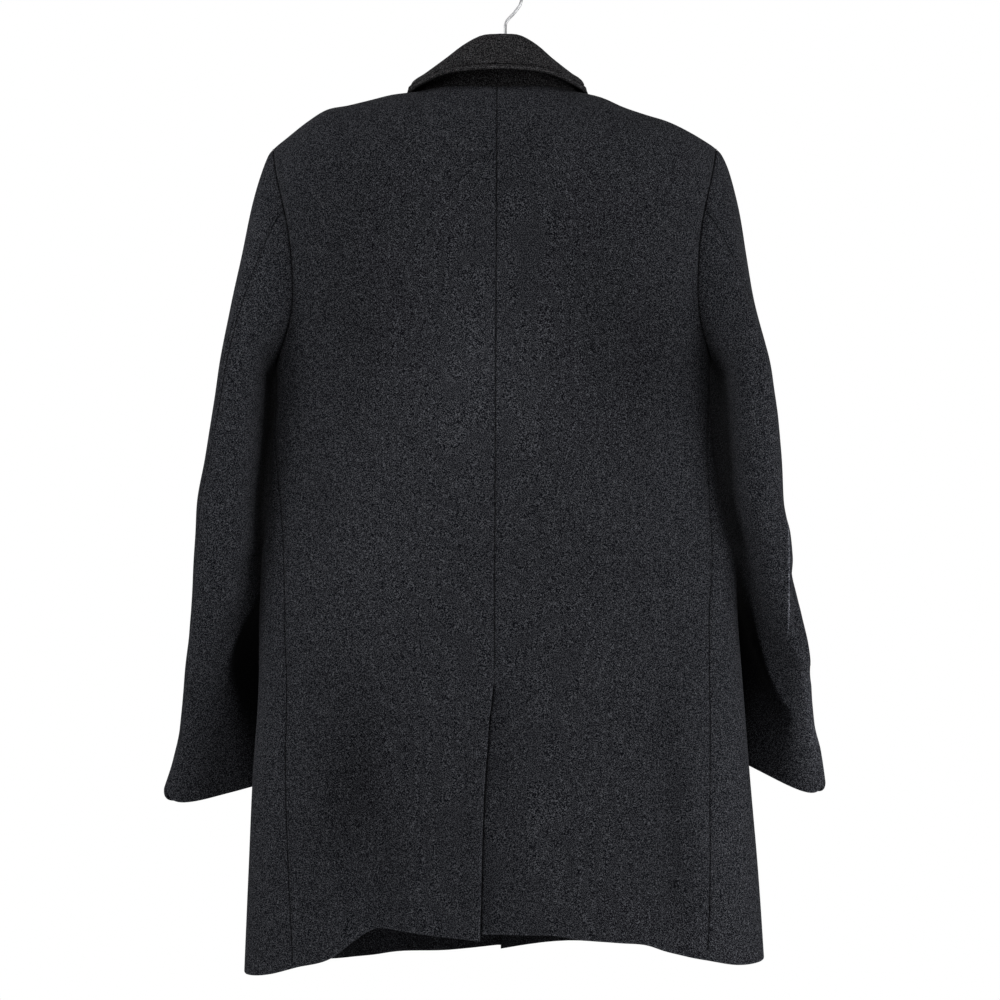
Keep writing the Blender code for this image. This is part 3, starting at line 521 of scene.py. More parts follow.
def body_creases(points):
    """Depth of all the body's creases at each point."""
    behind = ease(points[..., 1], 0.0, 0.03)
    ahead = ease(-points[..., 1], 0.0, 0.03)
    depth = np.zeros(points.shape[:-1])
    for face, width, deep, line in BODY_CREASES:
        depth += crease(points, line, width, deep) * (behind if face == 1 else ahead)
    return depth


def sleeve_creases(side, points, normals):
    """Depth of all the sleeve's creases, each on the side of the sleeve that faces its way."""
    behind = ease(normals[..., 1], -0.2, 0.3)
    ahead = ease(-normals[..., 1], -0.2, 0.3)
    depth = np.zeros(points.shape[:-1])
    for whose, face, width, deep, line in SLEEVE_CREASES:
        if whose == side:
            depth += crease(points, line, width, deep) * (behind if face == 1 else ahead)
    return depth


def handling(points):
    """Depth of the slight unevenness that steaming and handling leave all over the cloth."""
    across, deep, down = points[..., 0], points[..., 1], -points[..., 2]
    broad = np.sin(41 * across + 9 * down + 1.3) * np.sin(23 * down - 17 * across + 31 * deep + 0.4)
    fine = np.sin(97 * across - 31 * down + 55 * deep) * np.sin(61 * down + 43 * across + 2.1)
    return 0.0007 * broad + 0.00030 * fine


# %% [markdown]
# Walls of cloth. The wool is thick, so its edges matter. A seam pulls both cloths down into a
# shallow groove, and a turned hem, cuff, front edge or vent is a soft roll of two or three
# layers. Both are made by sinking the surface near an edge along a quarter circle. Solidify and
# Bevel could thicken and round a plain sheet, but not in step with its seams, so the whole wall
# is worked out. It also keeps its distances from seams and edges, for the wool's finish to read.

# %% Edges of a wall
SEAM_ROUND, SEAM_SINK = 0.0010, 0.0009
SEAM_REACH = 0.0040
EDGE_STEPS = (0.0003, 0.0009, 0.0018)


def finer_edges(grid):
    """The grid with three more lines of points inside each of its four edges.

    They lie on straight lines from the edge to its neighbour, at EDGE_STEPS where there is room.
    """
    for axis in (0, 1):
        for _ in range(2):
            grid = np.flip(grid, axis)
            lines = np.moveaxis(grid, axis, 0)
            room = np.linalg.norm(lines[1, :, :3] - lines[0, :, :3], axis=-1, keepdims=True)
            scale = np.minimum(1, 0.8 * room / EDGE_STEPS[-1]) / np.maximum(room, 1e-9)
            more = [lines[0] + (lines[1] - lines[0]) * step * scale for step in EDGE_STEPS]
            grid = np.moveaxis(np.concatenate([lines[:1], np.array(more), lines[1:]]), 0, axis)
    return grid


def edge_distances(points):
    """Distance of each point from the first and last row and the first and last column."""
    down = np.linalg.norm(np.diff(points, axis=0), axis=-1)
    along = np.linalg.norm(np.diff(points, axis=1), axis=-1)
    down = np.concatenate([np.zeros((1, points.shape[1])), np.cumsum(down, axis=0)])
    along = np.concatenate([np.zeros((points.shape[0], 1)), np.cumsum(along, axis=1)], axis=1)
    return {"top": down, "bottom": down[-1] - down, "start": along, "end": along[:, -1:] - along}


def finer_wall(points, normals):
    """Points and normals with finer edges."""
    grid = finer_edges(np.concatenate([points, normals], axis=-1))
    return grid[..., :3], unit(grid[..., 3:])


def rounding(distance, radius):
    """How far a quarter circle of this radius lies below the surface, near an edge."""
    rest = np.clip(radius - distance, 0, None)
    return radius - np.sqrt(np.maximum(radius**2 - rest**2, 0))


# %% Meshes
def grid_faces(rows, columns):
    """Quads of a closed wall: an outer grid, an inner grid and the rim that joins them."""
    index = np.arange(rows * columns).reshape(rows, columns)
    corners = index[:-1, :-1], index[:-1, 1:], index[1:, 1:], index[1:, :-1]
    outer = np.stack(corners, axis=-1).reshape(-1, 4)
    rim = np.concatenate([index[0, :-1], index[:-1, -1], index[-1, :0:-1], index[:0:-1, 0]])
    after = np.roll(rim, -1)
    inner = outer[:, ::-1] + rows * columns
    rim_faces = np.stack([after, rim, rim + rows * columns, after + rows * columns], axis=-1)
    return np.concatenate([outer, inner, rim_faces])


def signed_volume(points, faces):
    """Six times the volume that the quads enclose, positive when they face outwards."""
    first, second, third, fourth = (points[faces[:, corner]] for corner in range(4))
    halves = np.cross(second, third) + np.cross(third, fourth)
    return float((first * halves).sum())


def add_object(name, data):
    """An object in the scene that shows this mesh, lamp or camera."""
    made = bpy.data.objects.new(name, data)
    bpy.context.scene.collection.objects.link(made)
    return made


def add_mesh(name, corners, faces):
    """A smooth object of these points and faces, with the hook's inside top at the origin."""
    mesh = bpy.data.meshes.new(name)
    mesh.from_pydata((corners - ORIGIN).tolist(), [], faces)
    mesh.shade_smooth()
    return add_object(name, mesh)


def outwards(points, faces, *others):
    """The quads, and other faces that turn the same way, with their outer sides facing out."""
    turn = -1 if signed_volume(points - points.mean(axis=0), faces) < 0 else 1
    return [found[:, ::turn] for found in (faces, *others)]


def add_values(made, name, values):
    """A number for each point of the mesh, for its material to read."""
    attribute = made.data.attributes.new(name, "FLOAT", "POINT")
    attribute.data.foreach_set("value", np.asarray(values, np.float32).ravel())


# %% One wall of cloth
TURNED_WIDTH, TURNED_EXTRA, TURNED_ROLL = 0.038, 0.0016, 0.46
FAR = 1.0


def add_outer_values(made, name, values):
    """The same for a wall whose inner side is far from all seams and edges."""
    add_values(made, name, np.concatenate([values.ravel(), np.full(values.size, FAR)]))


def add_wall(name, points, normals, free=(), depth=None, part_seam=None, tucked=0):
    """A closed wall of cloth below these points, with its cut size in metres.

    free names the edges that are turned and rounded to half their thickness. The others are
    seams, whose groove fades out near a turned edge. part_seam is an edge with the share of it,
    row by row, that is turned and not sewn. tucked is a number of first rows that are seam
    allowance, out of sight behind the seam. depth is how far the creases draw the cloth in. The
    UV map holds the distances along the cloth, so that it isn't stretched.
    """
    distances = edge_distances(points)
    across, down = distances["start"], distances["top"]
    distances["top"] = np.abs(down - down[tucked])
    thickness = np.full(points.shape[:2], CLOTH)
    for edge in free:
        doubled = 1 - ease(distances[edge], TURNED_WIDTH, TURNED_WIDTH + 0.004)
        thickness = np.maximum(thickness, CLOTH + TURNED_EXTRA * doubled)
    sink, lift = np.zeros(points.shape[:2]), np.zeros(points.shape[:2])
    near_free = np.full(points.shape[:2], FAR)
    for edge in free:
        near_free = np.minimum(near_free, distances[edge])
    pressed = ease(near_free, 0.001, 0.012)
    from_seam = np.full(points.shape[:2], FAR)
    turned = {edge: 1.0 for edge in free}
    if part_seam is not None:
        turned[part_seam[0]] = part_seam[1]
    for edge, distance in distances.items():
        if edge in turned:
            roll = turned[edge] * rounding(distance, TURNED_ROLL * thickness)
            sink, lift = np.maximum(sink, roll), np.maximum(lift, roll)
        if edge not in free:
            share = (1 - turned.get(edge, 0.0)) * pressed
            groove = SEAM_SINK * np.exp(-((distance / SEAM_REACH) ** 2))
            sink = np.maximum(sink, share * (groove + rounding(distance, SEAM_ROUND)))
            from_seam = np.minimum(from_seam, distance + 0.01 * (1 - share))
    if depth is not None:
        points = points - normals * depth[..., None]
    outer = points - normals * sink[..., None]
    inner = points - normals * (thickness - lift)[..., None]
    rows, columns = points.shape[:2]
    corners = np.concatenate([outer.reshape(-1, 3), inner.reshape(-1, 3)])
    made = add_mesh(name, corners, outwards(corners, grid_faces(rows, columns))[0].tolist())
    made.data.set_sharp_from_angle(angle=math.radians(50))
    flat = np.stack([across, -down], axis=-1).reshape(-1, 2)
    loops = np.empty(len(made.data.loops), np.int64)
    made.data.loops.foreach_get("vertex_index", loops)
    layer = made.data.uv_layers.new(name="cut")
    layer.data.foreach_set("uv", flat[loops % (rows * columns)].astype(np.float32).ravel())
    if part_seam is not None:
        sewn = 0.02 * (1 - part_seam[1])
        near_free = np.minimum(near_free, distances[part_seam[0]] + sewn)
    add_outer_values(made, "from_edge", near_free)
    add_outer_values(made, "from_seam", from_seam)
    down_sides, along_sides = points[1:, :-1] - points[:-1, :-1], points[:-1, 1:] - points[:-1, :-1]
    area = float(np.linalg.norm(np.cross(down_sides, along_sides), axis=-1).sum())
    width, length = float(across[:, -1].max()), float(down[-1].max())
    print(f"{name}: {2 * rows * columns} points, cut {width:.3f} x {length:.3f} m, {area:.3f} square metres")
    return made, (width, length, area)


# %% [markdown]
# The backs and fronts. Both sit on the body's surface: the backs meet in the centre back seam
# and part below it as a vent, with the wearer's left flap over the right. The fronts wrap round
# the sides to the side-back seams and close left over right. Each could be a flat sheet that is
# bent into place. Two edges and the columns between them give its place at once.

# %% Edges of the backs and fronts
ARMHOLE_ROWS, BODY_ROWS = 60, 150
NECK_COLUMNS = 24
SHOULDER_COLUMNS = {"back": 40, "front": 60}
LEAST_COLUMN = 0.0025


def panel_rows():
    """Shares of the way down, closer near both ends of the armhole, which ends at ARMHOLE_ROWS."""
    bottom = (ARMHOLE_BOTTOM - SHOULDER_POINT_DROP) / (SEAM_FOOT_DROP - SHOULDER_POINT_DROP)
    armhole = bottom * (1 - np.cos(math.pi * np.arange(ARMHOLE_ROWS) / ARMHOLE_ROWS)) / 2
    body = bottom + (1 - bottom) * np.arange(BODY_ROWS + 1) / BODY_ROWS
    return np.concatenate([armhole, body])


def outer_edge(side, face, rows):
    """Angles of the edge that runs down the armhole and then down the side-back seam."""
    name = SIDE_NAMES[side]
    drop = SHOULDER_POINT_DROP + rows * (SEAM_FOOT_DROP - SHOULDER_POINT_DROP)
    down = (drop - SHOULDER_POINT_DROP) / (ARMHOLE_BOTTOM - SHOULDER_POINT_DROP)
    armhole = side_angle(lookup(ARMHOLE, "down", f"{face}_{name}", down))
    if face == "front":
        armhole = math.pi - armhole
    seam = side_angle(lookup(SIDE_SEAM, "drop", name, drop))
    return np.where(drop < ARMHOLE_BOTTOM, armhole, seam)


def centre_edge(side, face, rows):
    """Angles of the edge at the centre back or the centre front.

    Below the last button the right front's edge drifts back to its own side.
    """
    half = half_width(side, rows)
    drop = rows * CENTRE_HEM_DROP
    if face == "front":
        drift = FRONT_DRIFT * ease(drop, BUTTON_DROPS[-1], CENTRE_HEM_DROP) * (side == RIGHT)
        return math.pi + side_angle((FRONT_OVERLAP - drift) / half)
    if side == LEFT:
        across = lookup(VENT_EDGE, "drop", "across", drop)
    else:
        seam = lookup(VENT_EDGE, "drop", "across", np.minimum(drop, VENT_TOP))
        tuck = 0.005 * ease(drop, VENT_TOP - 0.006, VENT_TOP + 0.002)
        across = -seam - tuck - (VENT_UNDERLAP - 0.005) * ease(drop, VENT_TOP, VENT_TOP + 0.03)
    return side_angle(across / half)


def neck_turns(front):
    """Turns round the neck, from the centre, at which the panels and the collar have columns."""
    share = np.arange(NECK_COLUMNS + 1) / NECK_COLUMNS
    if not front:
        return math.pi / 2 * share
    turns = math.pi / 2 * (1 - (1 - share) ** 1.5)
    return np.insert(turns, 1, math.pi - math.radians(COLLAR["turn"][-1]))


def column_shares(side, face):
    """Shares of the way from the centre edge to the outer edge, in step with the neck's turns."""
    half = float(half_width(side, 0.0))
    neck = side_angle(NECK_HALF * np.sin(np.unique(neck_turns(face == "front"))) / half)
    neck = np.append(neck[neck < neck[-1] - LEAST_COLUMN], neck[-1])
    shoulder = np.linspace(neck[-1], math.pi / 2, SHOULDER_COLUMNS[face] + 1)[1:]
    angles = np.concatenate([neck, shoulder])
    if face == "front":
        overlap = side_angle(-FRONT_OVERLAP / half)
        angles = np.concatenate([np.linspace(overlap, 0, 8, endpoint=False), angles])
    return ((angles - angles[0]) / (angles[-1] - angles[0]))[None, :]


# %% Backs and fronts
VENT_LIFT, VENT_LIFT_WIDTH, VENT_LIFT_DROP = 0.0052, 0.024, 0.690


def body_panel(side, face):
    """Outer points and outward normals of one back or front panel."""
    rows = panel_rows()[:, None]
    start, end = centre_edge(side, face, rows), outer_edge(side, face, rows)
    angle = start + (end - start) * column_shares(side, face)
    rows = np.broadcast_to(rows, angle.shape)
    points = body_point(side, angle, rows)
    normals = body_normal(side, angle, rows)
    normals[:, 0, 0] = 0
    shoulder = np.abs(points[0, :, 0]) > NECK_HALF - 1e-4
    normals[0, shoulder, 1] = 0
    return finer_wall(points, unit(normals))


sizes, pieces = {}, {}
for side, side_name in SIDE_NAMES.items():
    for face in ("back", "front"):
        points, normals = body_panel(side, face)
        depth = body_creases(points) + handling(points) * ease(np.abs(points[..., 1]), 0.0, 0.05)
        drop = -points[..., 2]
        if face == "front":
            depth = depth * ease(np.abs(points[..., 0]), 0.02, 0.05)
            free, part_seam = ("start", "bottom"), None
        else:
            free, part_seam = ("bottom",), ("start", ease(drop, VENT_TOP - 0.004, VENT_TOP + 0.006))
            if side == LEFT:
                from_vent = edge_distances(points)["start"]
                lifted = 1 - ease(from_vent, 0.001, VENT_LIFT_WIDTH)
                depth = depth - VENT_LIFT * lifted * ease(drop, VENT_TOP - 0.004, VENT_LIFT_DROP)
        name = f"{face}_{side_name}"
        pieces[name], sizes[name] = add_wall(f"{name}_cloth", points, normals, free, depth, part_seam)
        if (side, face) == (RIGHT, "back"):
            # distance from the over-flap's edge, where the vent's wool paints a shadow on the under-flap
            from_flap = lookup(VENT_EDGE, "drop", "across", drop) - points[..., 0]
            from_flap = from_flap + 0.02 * (1 - ease(drop, VENT_TOP - 0.002, VENT_TOP + 0.008))
            add_outer_values(pieces[name], "from_shade_line", from_flap)

# %% [markdown]
# The sleeves are set in two pieces, a top sleeve and an under sleeve. The head rises out of the
# armhole and turns down in a cubic curve, and below it the rings hang as flat, turning ovals.
# Bridged edge loops could join the two, but with a kink. The cloth runs on a few millimetres
# inside the armhole as seam allowance, so that no light gets through at the shoulder point.

# %% Rings of the sleeves
SLEEVE_HEAD_RINGS, SLEEVE_RINGS = 44, 116
ELBOW_ROW, FOREARM_ROW = 24, 84
SLEEVE_ALLOWANCE, ELBOW_STITCH = 0.006, 0.0050


def armhole_loop(side):
    """Points round the armhole, from the shoulder point over the back, in the sleeve's order."""
    rows = panel_rows()[: ARMHOLE_ROWS + 1]
    back, front = (body_point(side, outer_edge(side, face, rows), rows) for face in ("back", "front"))
    return np.concatenate([back, front[-2:0:-1]])


def sleeve_rings(side, drops, angles):
    """Rings of the hanging sleeve: ovals in their own flat frame, turned about the arm."""
    ring = {name: lookup(SLEEVES[side], "drop", name, drops)[:, None] for name in SLEEVES[side]}
    turn = np.radians(ring["turn"])
    radius = section_radius(angles, SLEEVE_POWER)
    out = ring["thin"] * radius * np.cos(angles)
    back = ring["long"] * radius * np.sin(angles)
    across = ring["across"] + out * np.cos(turn) + back * np.sin(turn)
    across = across - ring["lean"] * np.clip(-np.sin(angles), 0, 1) ** 2
    fore = ring["fore"] + out * np.sin(turn) - back * np.cos(turn)
    lift = ring["tip"] * np.clip(np.sin(angles), 0, 1) ** 6
    return place(side * across, fore, ring["drop"] + ring["rise"] * back - lift)


def ring_angles(side, drops):
    """Angles of the rings' points, evenly spaced between the elbow and the forearm seams."""
    elbow = np.radians(lookup(SLEEVES[side], "drop", "elbow", drops))[:, None]
    forearm = math.radians(FOREARM_SEAM)
    points = 2 * ARMHOLE_ROWS
    over_share = np.linspace(0, 1, ELBOW_ROW + points - FOREARM_ROW + 1)[None, :]
    under_share = np.linspace(0, 1, FOREARM_ROW - ELBOW_ROW + 1)[None, :]
    over = forearm - math.tau + (elbow - forearm + math.tau) * over_share
    under = elbow + (forearm - elbow) * under_share
    first = points - FOREARM_ROW
    return np.concatenate([over[:, first:], under[:, 1:-1], over[:, :first]], axis=1)


def sleeve_grid(side):
    """Outer points of a whole sleeve, ring by ring, and its outward normals."""
    armhole = armhole_loop(side)
    knots = SLEEVES[side]["drop"]
    drops = np.linspace(knots[0], knots[-1], SLEEVE_RINGS)
    hanging = sleeve_rings(side, drops, ring_angles(side, drops))
    second = sleeve_rings(side, knots[1:2], ring_angles(side, knots[1:2]))[0]
    reach = np.linalg.norm(hanging[0] - armhole, axis=1, keepdims=True)
    leave = armhole + np.array([side * HEAD_OUT[side], 0, -HEAD_DOWN]) * reach
    arrive = hanging[0] + unit(hanging[0] - second) * HEAD_ARRIVE * reach
    share = np.linspace(0, 1, SLEEVE_HEAD_RINGS, endpoint=False)[:, None, None]
    rest = 1 - share
    head = armhole * rest**3 + 3 * leave * share * rest**2
    head = head + 3 * arrive * share**2 * rest + hanging[0] * share**3
    points = np.concatenate([head, hanging])
    around = np.roll(points, -1, axis=1) - np.roll(points, 1, axis=1)
    normals = unit(np.cross(np.gradient(points, axis=0), around)) * side
    normals[0, :, 0] = 0
    return points, unit(normals)


# %% Sleeves
for side, side_name in SIDE_NAMES.items():
    points, normals = sleeve_grid(side)
    count = points.shape[1]
    columns = {
        "top": np.arange(FOREARM_ROW - count, ELBOW_ROW + 1) % count,
        "under": np.arange(ELBOW_ROW, FOREARM_ROW + 1),
    }
    for part, chosen in columns.items():
        cloth, facing = finer_wall(points[:, chosen], normals[:, chosen])
        inwards = np.array([side * SLEEVE_ALLOWANCE, 0, 0])
        allowance = cloth[:1] - facing[:1] * (CLOTH + 0.0010) - inwards
        cloth, facing = np.concatenate([allowance, cloth]), np.concatenate([facing[:1], facing])
        from_armhole = edge_distances(cloth)["top"] - SLEEVE_ALLOWANCE
        depth = (sleeve_creases(side, cloth, facing) + handling(cloth)) * ease(from_armhole, 0.004, 0.030)
        name = f"sleeve_{part}_{side_name}"
        pieces[name], sizes[name] = add_wall(f"{name}_cloth", cloth, facing, ("bottom",), depth, tucked=1)
        # distance from the elbow seam's stitches, for a line of painted shade along it
        from_stitch = edge_distances(cloth)["end"] - ELBOW_STITCH + (part == "under")
        add_outer_values(pieces[name], "from_shade_line", from_stitch)

# %% [markdown]
# The collar is cut in one with its stand: it rises from the neck seam, rolls over and falls to
# a stitched edge. It is two layers of wool with an interlining, so the edge is a fat soft roll,
# and the line of stitches 6 mm above it presses a groove all along. It could be lofted from a few
# outlines. A curve for each turn round the neck gives its roll the same radius all the way.

# %% Shape of the collar
STAND_ROWS, FALL_ROWS = 22, 64
COLLAR_ALLOWANCE = 0.006
STITCH_INSET = 0.0062


def clear_of_body(side, points):
    """The same points, moved out where they lie in the cloth that rounds over the shoulders.

    At one distance across, that cloth is a quarter of an ellipse in fore and drop. Each point
    inside it is scaled away from the ellipse's centre until it lies on a larger one.
    """
    across, fore, drop = points[..., 0], points[..., 1], points[..., 2]
    half = half_width(side, drop)
    back, front = (lookup(BODY_DEPTH, "drop", face, drop) for face in ("back", "front"))
    depth = np.where(fore > 0, front, back)
    depth = depth * (1 - np.minimum(across / half, 0.99) ** SECTION_POWER) ** (1 / SECTION_POWER)
    centre = ridge_drop(side, across) + SHOULDER_ROUND
    room = CLOTH + COLLAR_CLEARANCE
    out = fore / (depth + room)
    up = np.maximum(centre - drop, 0) / (SHOULDER_ROUND + room)
    scale = 1 / np.clip(np.hypot(out, up), 1e-6, 1)
    moved = scale > 1
    fore = np.where(moved, (depth + room) * out * scale, fore)
    drop = np.where(moved, drop - (SHOULDER_ROUND + room) * up * (scale - 1), drop)
    return np.stack([across, fore, drop], axis=-1)


def collar_half(side, degrees):
    """Half of the collar's visible side, one column for each turn from the centre back.

    The stand and the fall are quadratic curves, (1-s)^2 a + 2 s (1-s) b + s^2 c, whose middle
    control points lie level with the crest.
    """
    across = NECK_HALF * np.sin(np.radians(degrees))
    front = degrees > 90
    half = half_width(side, neck_drop(across, front))
    angle = side_angle(across / half)
    neck = body_point(side, np.where(front, math.pi - angle, angle), np.zeros(len(degrees)))
    neck = np.stack([np.abs(neck[:, 0]), -neck[:, 1], -neck[:, 2]], axis=-1)
    values = {name: lookup(COLLAR, "turn", name, degrees)[:, None] for name in COLLAR}
    towards = np.radians(values["facing"])
    outwards = np.concatenate([np.sin(towards), -np.cos(towards), np.zeros_like(towards)], axis=1)
    up = np.array([0.0, 0.0, -1.0])
    stand = neck + outwards * values["crest_out"] + up * values["crest_up"]
    crest = stand + outwards * ROLL_RADIUS
    over = crest + outwards * ROLL_RADIUS
    edge = np.concatenate([values["edge_across"], values["edge_fore"], -values["edge_up"]], axis=1)
    rise = np.linspace(0, 1, STAND_ROWS)[:, None, None]
    fall = 1 - (1 - np.linspace(0, 1, FALL_ROWS)[1:, None, None]) ** 1.8
    first = neck * (1 - rise) ** 2 + 2 * stand * rise * (1 - rise) + crest * rise**2
    second = crest * (1 - fall) ** 2 + 2 * over * fall * (1 - fall) + edge * fall**2
    second = clear_of_body(side, second)
    allowance = neck - outwards * 0.0015 + np.array([0.0, 0.0, COLLAR_ALLOWANCE])
    profile = np.concatenate([allowance[None], first, second])
    lean = COLLAR_LEAN * np.maximum(-profile[..., 2] - COLLAR_LEAN_START, 0)
    return place(side * profile[..., 0] + lean, profile[..., 1], profile[..., 2])


def collar_grid():
    """Points and outward normals of the whole collar."""
    back, front = np.degrees(neck_turns(False)), 180 - np.degrees(np.unique(neck_turns(True)))
    degrees = np.concatenate([back, front[-2:0:-1]])
    points = np.concatenate(
        [collar_half(RIGHT, degrees)[:, :0:-1], collar_half(LEFT, degrees)], axis=1
    )
    along, up = np.gradient(points, axis=1), np.gradient(points, axis=0)
    return finer_wall(points, unit(np.cross(along, up)))


# %% Collar
points, normals = collar_grid()
distances = edge_distances(points)
from_edge = np.minimum(distances["bottom"], np.minimum(distances["start"], distances["end"]))
band = 1 - ease(from_edge, STITCH_INSET - 0.001, STITCH_INSET + 0.003)
groove = np.exp(-(((from_edge - STITCH_INSET) / 0.0012) ** 2))
depth = 0.0019 * groove - 0.0011 * band * (1 - groove) + handling(points) * 0.5
pieces["collar"], sizes["collar"] = add_wall(
    "collar_cloth", points, normals, ("bottom", "start", "end"), depth
)

# %% [markdown]
# Buttons of dark horn: a turned disc with a round rim, a shallow dish and four holes, sewn on
# with thread. On the left front each one comes through a buttonhole with a corded edge. A spun
# profile would give the disc, but not its holes, so its face is a height for each radius and turn.


# %% Tubes
def closed_rings(rings):
    """Points and faces of a row of rings, each end closed by a fan to its middle."""
    count, sides = rings.shape[:2]
    index = np.arange(count * sides).reshape(count, sides)
    after = np.roll(index, -1, axis=1)
    quads = np.stack([index[:-1], after[:-1], after[1:], index[1:]], axis=-1).reshape(-1, 4)
    poles = np.array([rings[0].mean(axis=0), rings[-1].mean(axis=0)])
    first_fan = np.stack([index[0], np.full(sides, count * sides), after[0]], axis=-1)
    last_fan = np.stack([index[-1], after[-1], np.full(sides, count * sides + 1)], axis=-1)
    corners = np.concatenate([rings.reshape(-1, 3), poles])
    return corners, quads, np.concatenate([first_fan, last_fan])


def tube(path, radius, sides, side_way):
    """A closed tube along a path, with its ends drawn in to round caps."""
    direction = unit(np.gradient(path, axis=0))
    second = unit(np.cross(direction, side_way))
    first = np.cross(second, direction)
    turns = np.linspace(0, math.tau, sides, endpoint=False)[None, :, None]
    ring = first[:, None] * np.cos(turns) + second[:, None] * np.sin(turns)
    radius = np.broadcast_to(radius, (len(path),))[:, None, None]
    rings = path[:, None] + ring * radius
    ends = []
    for index, sign in ((0, -1), (-1, 1)):
        cap = np.array([0.94, 0.77, 0.5, 0.17])[:, None, None]
        out = direction[index] * sign * radius[index] * np.sqrt(1 - cap**2)
        ends.append(path[index] + ring[index] * radius[index] * cap + out)
    return closed_rings(np.concatenate([ends[0][::-1], rings, ends[1]]))


def add_tubes(name, tubes):
    """One object of several tubes, each turned outwards."""
    corners, faces, start = [], [], 0
    for points, quads, fans in tubes:
        corners.append(points)
        for turned in outwards(points, quads, fans):
            faces += (turned + start).tolist()
        start += len(points)
    return add_mesh(name, np.concatenate(corners), faces)


# %% Shape of a button
RIM_ROUND, DISH_DEPTH, HOLE_DEPTH = 0.0014, 0.0011, 0.0024


def on_left_front(across, drop):
    """A point of the left front's outer surface and its normal, at the centre front or past it."""
    across, drop = np.broadcast_arrays(np.asarray(across, float), np.asarray(drop, float))
    half = half_width(LEFT, drop)
    angle = math.pi - side_angle(across / half)
    neck, ridge = neck_drop(np.abs(across), True), ridge_drop(LEFT, across)
    hem = hem_drop(LEFT, angle)
    row = (drop - ridge) / (hem - ridge)
    for _ in range(40):
        top = ridge + (neck - ridge) * neck_reach(row)
        row = (drop - top) / (hem - top)
    return body_point(LEFT, angle, row), body_normal(LEFT, angle, row)


def button_height(radius, turn):
    """Height of the button's upper face: a rim, a dish, and four holes with round sides."""
    rim_round = rounding(BUTTON_RADIUS - radius, RIM_ROUND)
    dish = DISH_DEPTH * (1 - ease(radius, 0.0078, 0.0100))
    across, up = radius * np.cos(turn), radius * np.sin(turn)
    spread = BUTTON_HOLE_SPREAD / math.sqrt(2)
    away = np.hypot(np.abs(across) - spread, np.abs(up) - spread)
    hole = HOLE_DEPTH * (1 - ease(away, 0.7 * BUTTON_HOLE_RADIUS, 1.15 * BUTTON_HOLE_RADIUS))
    return BUTTON_THICKNESS - rim_round - dish - hole


def add_button(number, drop):
    """A turned button: its face on a polar grid, then its rim and its flat back."""
    seat, normal = on_left_front(0.0, drop)
    holes, dish = np.linspace(0.0002, 0.0046, 22), np.linspace(0.0052, 0.0110, 12)
    rim = BUTTON_RADIUS - RIM_ROUND * (1 - np.sin(np.linspace(0, 1, 7)[1:] * math.pi / 2))
    back = BUTTON_RADIUS - np.array([0.0002, 0.0008, 0.0040, 0.0122])
    turns = np.linspace(0, math.tau, 64, endpoint=False)
    radius, turn = np.meshgrid(np.concatenate([holes, dish, rim, back]), turns, indexing="ij")
    height = button_height(radius, turn)
    height[-len(back) :] = np.array([0.0008, 0.0002, 0.0, 0.0])[:, None]
    local = np.stack([radius * np.cos(turn), radius * np.sin(turn), height], axis=-1)
    sideways = np.array([1.0, 0.0, 0.0])
    upwards = np.cross(normal, sideways)
    basis = np.stack([sideways, upwards, normal])
    world = seat + normal * BUTTON_SEAT + local @ basis
    button = add_tubes(f"button_{number}_horn", [closed_rings(world)])
    threads = []
    spread = BUTTON_HOLE_SPREAD / math.sqrt(2)
    for offset in (-spread, spread):
        share = np.linspace(-1, 1, 15)
        rise = BUTTON_THICKNESS - DISH_DEPTH - 0.0008 + 0.0013 * np.sqrt(np.clip(1 - share**4, 0, 1))
        local = np.stack([share * spread * 1.05, np.full(15, offset), rise], axis=-1)
        threads.append(tube(seat + normal * BUTTON_SEAT + local @ basis, 0.00055, 10, upwards))
    thread = add_tubes(f"button_thread_{number}", threads)
    return button, thread


# %% Buttons and buttonholes
def add_buttonhole(number, drop):
    """A loop of cord round a slit, which starts under the button and runs from the front edge."""
    turn = np.linspace(0, math.tau, 73)
    length, width = 0.0135, 0.0011
    across = 0.0115 + length * np.sign(np.cos(turn)) * np.abs(np.cos(turn)) ** 0.35
    down = drop + width * np.sign(np.sin(turn)) * np.abs(np.sin(turn)) ** 0.8
    points, normals = on_left_front(across, down)
    path = points + normals * 0.0002
    return add_tubes(f"buttonhole_{number}", [tube(path[:-1], 0.0006, 8, normals.mean(axis=0))])


trims = {}
for number, drop in enumerate(BUTTON_DROPS, 1):
    button, thread = add_button(number, drop)
    pieces[f"button_{number}"] = button
    trims[f"button_thread_{number}"] = thread
    trims[f"buttonhole_{number}"] = add_buttonhole(number, drop)
print(len(trims), "threads and buttonholes")

# %% [markdown]
# Near the top of the vent a stitch of pale tacking thread is still in the over-flap, close to its
# edge, as vents are tacked shut to be sold. It could be a bevelled curve. A tube that follows the
# cloth's own surface needs no fitting.


# %% Tacking thread
def behind(across, drop):
    """A point of the left back's outer surface and its normal."""
    half = half_width(LEFT, drop)
    angle = side_angle(np.asarray(across, float) / half)
    row = (drop + NAPE_RISE) / (hem_drop(LEFT, angle) + NAPE_RISE)
    return body_point(LEFT, angle, row), body_normal(LEFT, angle, row)


share = np.linspace(0, 1, 9)
points, normals = behind(0.0098 + 0.0044 * share, 0.6676 + 0.0010 * share)
stitch = points + normals * (0.0030 + 0.0004 * np.sin(math.pi * share)[:, None])
trims["tacking_thread"] = add_tubes("tacking_thread", [tube(stitch, 0.00022, 8, normals.mean(axis=0))])
print("tacking stitch of", round(1000 * float(np.linalg.norm(stitch[-1] - stitch[0])), 1), "mm")

# %% [markdown]
# The hanger: a contoured arm of beech that follows the underside of the shoulder seams, and a
# hook bent from one round steel wire. Both hide in the coat but for the hook's stem and round. A
# bevelled curve would do for the wire, but the arm changes its height and thickness on its way,
# so it is a row of ovals, and the wire is made the same way.

# %% Hanger and hook
HANGER_SIDES = 40


